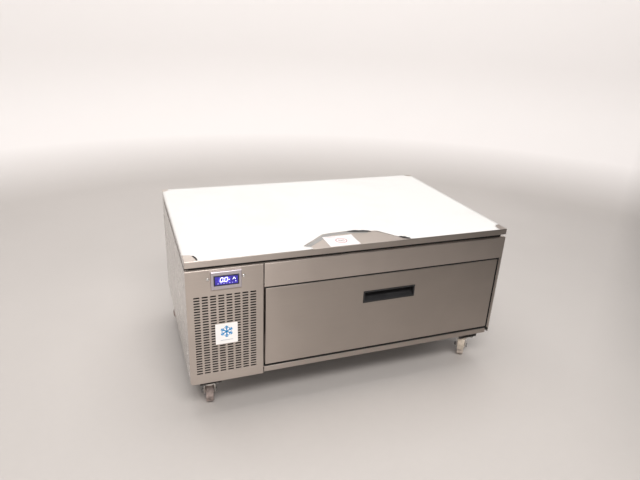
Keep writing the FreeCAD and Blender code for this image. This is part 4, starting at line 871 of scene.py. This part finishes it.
def tyre(castor):
    """A solid rubber tyre: a crowned tread with a mould line, round shoulders and ringed sides."""
    outer, inner, half = 37.5, 27.0, 12.0
    profile = []
    corner = 4.0
    centre = half - corner
    for a in range(0, 91, 15):
        c, s = math.cos(math.radians(a)), math.sin(math.radians(a))
        profile.append((outer - corner + corner * s - 0.35, -centre - corner * c))
    profile += [(outer - 0.15, -5.0), (outer - 0.05, -1.0), (outer, -0.5), (outer, 0.5), (outer - 0.05, 1.0),
                (outer - 0.15, 5.0)]
    for a in range(90, -1, -15):
        c, s = math.cos(math.radians(a)), math.sin(math.radians(a))
        profile.append((outer - corner + corner * s - 0.35, centre + corner * c))
    profile += [(31.6, half), (31.2, half - 0.7), (30.4, half - 0.7), (30.0, half), (inner + 0.2, half),
                (inner, half - 0.3), (inner, -half + 0.3), (inner + 0.2, -half), (30.0, -half),
                (30.4, -half + 0.7), (31.2, -half + 0.7), (31.6, -half)]
    shape = bmesh.new()
    lathe(shape, profile, axle_frame(castor) @ Matrix.Scale(MM, 4), 96)
    bmesh.ops.recalc_face_normals(shape, faces=shape.faces)
    # Right-hand castors take the lighter tyre tone (painted light); left-hand ones take the darker copy (painted
    # shade).
    piece = from_bmesh("tyre_" + castor, shape, TYRE if castor.endswith("right") else TYRE_SHADED)
    soften(piece, 0.15, 1, 30)
    return belongs(piece, "wheel_" + castor, "tyre_rubber", "castor_tyre_" + castor)


def hub_details(castor):
    """Eight thin ribs in each of the wheel's two dishes."""
    place = axle_frame(castor) @ Matrix.Scale(MM, 4)
    shape = bmesh.new()
    for side in (-1, 1):
        for i in range(8):
            turn = Matrix.Rotation(math.radians(45 * i + 11), 4, "Z")
            rib = [(9.0, -0.9), (23.6, -0.9), (23.6, 0.9), (9.0, 0.9)]
            low, high = sorted((side * 3.6, side * 9.4))
            slab(shape, rib, low, high, place @ turn)
    bmesh.ops.recalc_face_normals(shape, faces=shape.faces)
    ribs = from_bmesh("hub_ribs_" + castor, shape, WHEEL_PLASTIC, smooth=False)
    soften(ribs, 0.3, 2, 40)
    belongs(ribs, "wheel_" + castor, "wheel_plastic")


# The guard's side view, as distances ahead of the swivel and heights over the floor
GUARD_ROUTE = [(17.0, 90.0), (22.0, 88.6), (25.4, 84.0), (27.4, 74.0), (27.8, 69.5), (27.0, 64.0),
               (24.6, 54.0), (22.2, 45.0), (20.6, 41.5)]
GUARD_HALF_WIDTH = 13.0
GUARD_THICKNESS = 1.6


def toe_guard(castor):
    """A bent steel plate on the fork's crown that hangs in front of the wheel and narrows below."""
    joint = joints["castor_swivel_" + castor]
    wheel = axle_frame(castor).translation
    pin = Vector(joint["pos_m"])
    ahead = Vector((pin.x - wheel.x, pin.y - wheel.y, 0.0)).normalized()
    across = Vector((-ahead.y, ahead.x, 0.0))
    half, count = GUARD_HALF_WIDTH, 10
    shape = bmesh.new()
    rows = []
    for forward, height in GUARD_ROUTE:
        narrow = 1.0 - 0.12 * max(0.0, (60.0 - height) / 20.0)
        row = []
        for i in range(count + 1):
            side = half * narrow * (2 * i / count - 1)
            bow = 1.2 * (1 - (side / half) ** 2)
            place = Vector((pin.x, pin.y, height * MM)) + ahead * (forward + bow) * MM + across * side * MM
            row.append(shape.verts.new(place))
        rows.append(row)
    for one, two in zip(rows, rows[1:]):
        for i in range(count):
            shape.faces.new((one[i], one[i + 1], two[i + 1], two[i]))
    guard = from_bmesh("toe_guard_" + castor, shape, GUARD_REFLECTION_TAN)
    thickness = guard.modifiers.new("thickness", "SOLIDIFY")
    thickness.thickness = GUARD_THICKNESS * MM
    thickness.offset = 0.0
    soften(guard, 0.4, 2, 50)
    belongs(guard, body_of["castor_fork_" + castor], "zinc_steel")


def castors():
    for castor in CASTORS:
        tyre(castor)
        hub_details(castor)
    toe_guard("front_right")


# ---- drawer gasket, painted-shade strip over the drawer and grille filter


def bowed_pad(name, low, high, bow, finish, pitch=9.0):
    """A soft pad between two corners, with a gently uneven front and round edges."""
    shape = bmesh.new()
    columns = max(2, round((high.x - low.x) / MM / pitch))
    rows = max(2, round((high.z - low.z) / MM / pitch))
    grids = []
    for y, outward in ((low.y, 1), (high.y, -1)):
        grid = []
        for i in range(columns + 1):
            for j in range(rows + 1):
                x = low.x + (high.x - low.x) * i / columns
                z = low.z + (high.z - low.z) * j / rows
                rise = bow * (0.5 + 0.5 * noise.noise(Vector((x, outward, z)) * 25.0))
                grid.append(shape.verts.new((x, y + outward * rise * MM, z)))
        grids.append(grid)
    front, back = grids

    def at(i, j):
        return i * (rows + 1) + j

    for i in range(columns):
        for j in range(rows):
            ring = (at(i, j), at(i + 1, j), at(i + 1, j + 1), at(i, j + 1))
            shape.faces.new([front[k] for k in ring])
            shape.faces.new([back[k] for k in reversed(ring)])
    rim = [at(i, 0) for i in range(columns)] + [at(columns, j) for j in range(rows)]
    rim += [at(i, rows) for i in range(columns, 0, -1)] + [at(0, j) for j in range(rows, 0, -1)]
    for a, b in zip(rim, rim[1:] + rim[:1]):
        shape.faces.new((front[b], front[a], back[a], back[b]))
    bmesh.ops.recalc_face_normals(shape, faces=shape.faces)
    return soften(from_bmesh(name, shape, finish), 1.5, 2, 50)


def grille_filter():
    """The black foam pad behind the grille that keeps dust out of the condenser."""
    cover_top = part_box("engine_cover")[1].z
    coil_low, coil_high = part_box("condenser_coil")
    pad_low = Vector((coil_low.x - 4 * MM, coil_low.y - 19 * MM, coil_low.z - 4 * MM))
    pad_high = Vector((coil_high.x + 4 * MM, coil_low.y - 7 * MM, cover_top - 76 * MM))
    belongs(bowed_pad("grille_filter", pad_low, pad_high, 1.2, FILTER_FOAM), "cabinet", "black_rubber")


def drawer_gap_shade_strip():
    """A black rubber strip lying on the drawer front's upper fold: a dark piece that paints the shade in the gap
    above the drawer.
    """
    low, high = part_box("drawer_front")
    profile = [(2.0, 0.0), (27.0, 0.0), (27.0, 0.5), (25.0, 1.5), (18.0, 0.9), (11.0, 1.6), (4.0, 1.3),
               (2.0, 0.6)]
    shape = bmesh.new()
    rings = []
    stations = 40
    for i in range(stations + 1):
        x = low.x + 2 * MM + (high.x - low.x - 4 * MM) * i / stations
        sag = 0.12 * noise.noise(Vector((x * 9, 2.0, 0.0)))
        rings.append([shape.verts.new((x, low.y + y * MM, high.z + (0.05 + z * (1 + sag)) * MM))
                      for y, z in profile])
    for one, two in zip(rings, rings[1:]):
        for j in range(len(profile)):
            k = (j + 1) % len(profile)
            shape.faces.new((one[j], two[j], two[k], one[k]))
    shape.faces.new(rings[0])
    shape.faces.new(list(reversed(rings[-1])))
    bmesh.ops.recalc_face_normals(shape, faces=shape.faces)
    shade_strip = soften(from_bmesh("drawer_gap_shade_strip", shape, RUBBER), 0.25, 2, 25)
    belongs(shade_strip, "drawer", "black_rubber")


def gasket():
    """A magnetic door gasket: a hollow profile with bellows, mitred round the container's rim."""
    low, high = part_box("container_gasket")
    base, top = 0.0, (high.z - low.z) / MM
    profile = [(1.0, base), (25.0, base), (25.6, 0.8), (24.4, 1.8), (25.8, 2.8), (25.8, top - 0.8),
               (25.0, top), (14.5, top), (13.0, top - 1.0), (11.5, top), (1.0, top), (0.2, top - 0.8),
               (0.2, 2.8), (1.6, 1.8), (0.4, 0.8)]
    shape = bmesh.new()
    corners = ((low.x, low.y, 1, 1), (high.x, low.y, -1, 1), (high.x, high.y, -1, -1), (low.x, high.y, 1, -1))
    rings = []
    for x, y, sx, sy in corners:
        rings.append([shape.verts.new(Vector((x + sx * p * MM, y + sy * p * MM, low.z + q * MM)))
                      for p, q in profile])
    for one, two in zip(rings, rings[1:] + rings[:1]):
        for j in range(len(profile)):
            k = (j + 1) % len(profile)
            shape.faces.new((one[j], two[j], two[k], one[k]))
    bmesh.ops.recalc_face_normals(shape, faces=shape.faces)
    piece = from_bmesh("drawer_gasket", shape, GASKET)
    soften(piece, 0.25, 2, 25)
    return belongs(piece, "drawer", "grey_rubber", "container_gasket")


# ---- studio and camera

FLOOR_COLOUR = (0.5, 0.475, 0.455)
WALL_COLOUR = (0.84, 0.815, 0.805)
DIM_COLOUR = (0.1, 0.097, 0.094)
# The corner with painted shade, standing in for a dim corner of the room: how far a point lies to the right and to
# the front of two slanted lines
TO_THE_RIGHT = (0.9, 0.44)
TO_THE_FRONT = (0.63, 0.777)


def stage_material():
    """A worn grey floor that turns into a paler wall, with painted shade far off at the front right."""
    ground = Surface("studio_grey", FLOOR_COLOUR, 0.55)
    worn = ground.noise(1.3, 4.0)
    fine = ground.noise(40.0, 3.0)
    mixed = ground.maths("ADD", ground.maths("MULTIPLY", worn, 0.7), ground.maths("MULTIPLY", fine, 0.3))
    apart = ground.add("SeparateXYZ", {"Vector": ground.place})
    x, y, z = (apart.outputs[axis] for axis in "XYZ")
    scuffed = tuple(c * 0.95 for c in FLOOR_COLOUR)
    floor = ground.blend(ground.spread(mixed, 0.35, 0.65), scuffed, FLOOR_COLOUR)
    room = ground.blend(ground.spread(z, 0.01, 0.25), floor, WALL_COLOUR)
    right, front = (ground.maths("SUBTRACT", ground.maths("MULTIPLY", x, along_x),
                                 ground.maths("MULTIPLY", y, along_y))
                    for along_x, along_y in (TO_THE_RIGHT, TO_THE_FRONT))
    # Painted shade: the floor and wall darken towards DIM_COLOUR far off at the front right.
    dim = ground.maths("MULTIPLY", ground.spread(right, 0.8, 1.8), ground.spread(front, 0.95, 1.7))
    ground.feed("Base Color", ground.blend(dim, room, DIM_COLOUR))
    ground.feed("Roughness", ground.spread(fine, 0.3, 0.7, 0.49, 0.61))
    return ground.bump((fine, 0.15)).made


def studio():
    """A pale floor that sweeps up into a pale wall all round."""
    reach, sweep, wall, set_forward = 2.9, 0.9, 4.4, 0.7
    profile = [(0.0, 0.0), (reach * 0.5, 0.0), (reach, 0.0)]
    profile += [(reach + sweep * math.sin(math.radians(a)), sweep * (1 - math.cos(math.radians(a))))
                for a in range(9, 91, 9)]
    profile += [(reach + sweep, wall)]
    shape = bmesh.new()
    steps = 96
    centre = shape.verts.new(Vector((0, -set_forward, 0)))
    rings = [[shape.verts.new(Vector((x, y - set_forward, h))) for x, y in ring_points(r, steps)]
             for r, h in profile[1:]]
    for i in range(steps):
        j = (i + 1) % steps
        shape.faces.new((centre, rings[0][i], rings[0][j]))
        for one, two in zip(rings, rings[1:]):
            shape.faces.new((one[i], two[i], two[j], one[j]))
    from_bmesh("studio_floor", shape, stage_material())


def area_light(name, place, target, size, power, colour=(1, 1, 1)):
    data = bpy.data.lights.new(name, "AREA")
    data.shape = "RECTANGLE"
    data.size, data.size_y = size
    data.energy = power
    data.color = colour
    lamp = bpy.data.objects.new(name, data)
    lamp.location = place
    lamp.rotation_euler = (Vector(target) - Vector(place)).to_track_quat("-Z", "Y").to_euler()
    bpy.context.scene.collection.objects.link(lamp)


def lights():
    world = bpy.data.worlds.new("studio_air")
    world.use_nodes = True
    world.node_tree.nodes["Background"].inputs["Color"].default_value = (1.0, 0.985, 0.97, 1.0)
    world.node_tree.nodes["Background"].inputs["Strength"].default_value = 0.38
    bpy.context.scene.world = world
    area_light("top_soft", (0.0, 0.4, 3.8), (0.0, 0.1, 0.0), (3.4, 2.6), 76.0, (1.0, 0.985, 0.97))
    area_light("key_front", (-0.6, -2.65, 3.3), (0.0, 0.0, 0.1), (2.2, 0.9), 110.0, (1.0, 0.97, 0.95))
    area_light("front_soft", (-0.5, -3.3, 2.1), (-0.3, -0.3, 0.3), (1.2, 1.0), 18.0, (1.0, 0.92, 0.88))
    area_light("wall_fill", (0.6, 1.5, 2.9), (1.2, 3.3, 0.8), (3.6, 1.0), 12.0, (1.0, 0.985, 0.98))


CAMERA_PLACE = (-0.6838, -1.7484, 1.1985)
CAMERA_TURN = (67.49, -2.508, -20.028)
CAMERA_LENS = 30.13


def camera():
    data = bpy.data.cameras.new("camera")
    data.sensor_width = 36.0
    data.lens = CAMERA_LENS
    eye = bpy.data.objects.new("camera", data)
    eye.location = CAMERA_PLACE
    eye.rotation_euler = [math.radians(a) for a in CAMERA_TURN]
    bpy.context.scene.collection.objects.link(eye)
    bpy.context.scene.camera = eye


bpy.context.scene.view_settings.view_transform = "Standard"
camera()
lights()
studio()
finish_cad_nodes()
worktop_film()
for curl_name, curl_path, curl_radius in FILM_CURLS:
    film_curl(curl_name, curl_path, curl_radius)
film_tear_grey_strip()
worktop_label()
controller_display()
badge_emblem()
panel_screws()
castors()
gasket()
drawer_gap_shade_strip()
grille_filter()
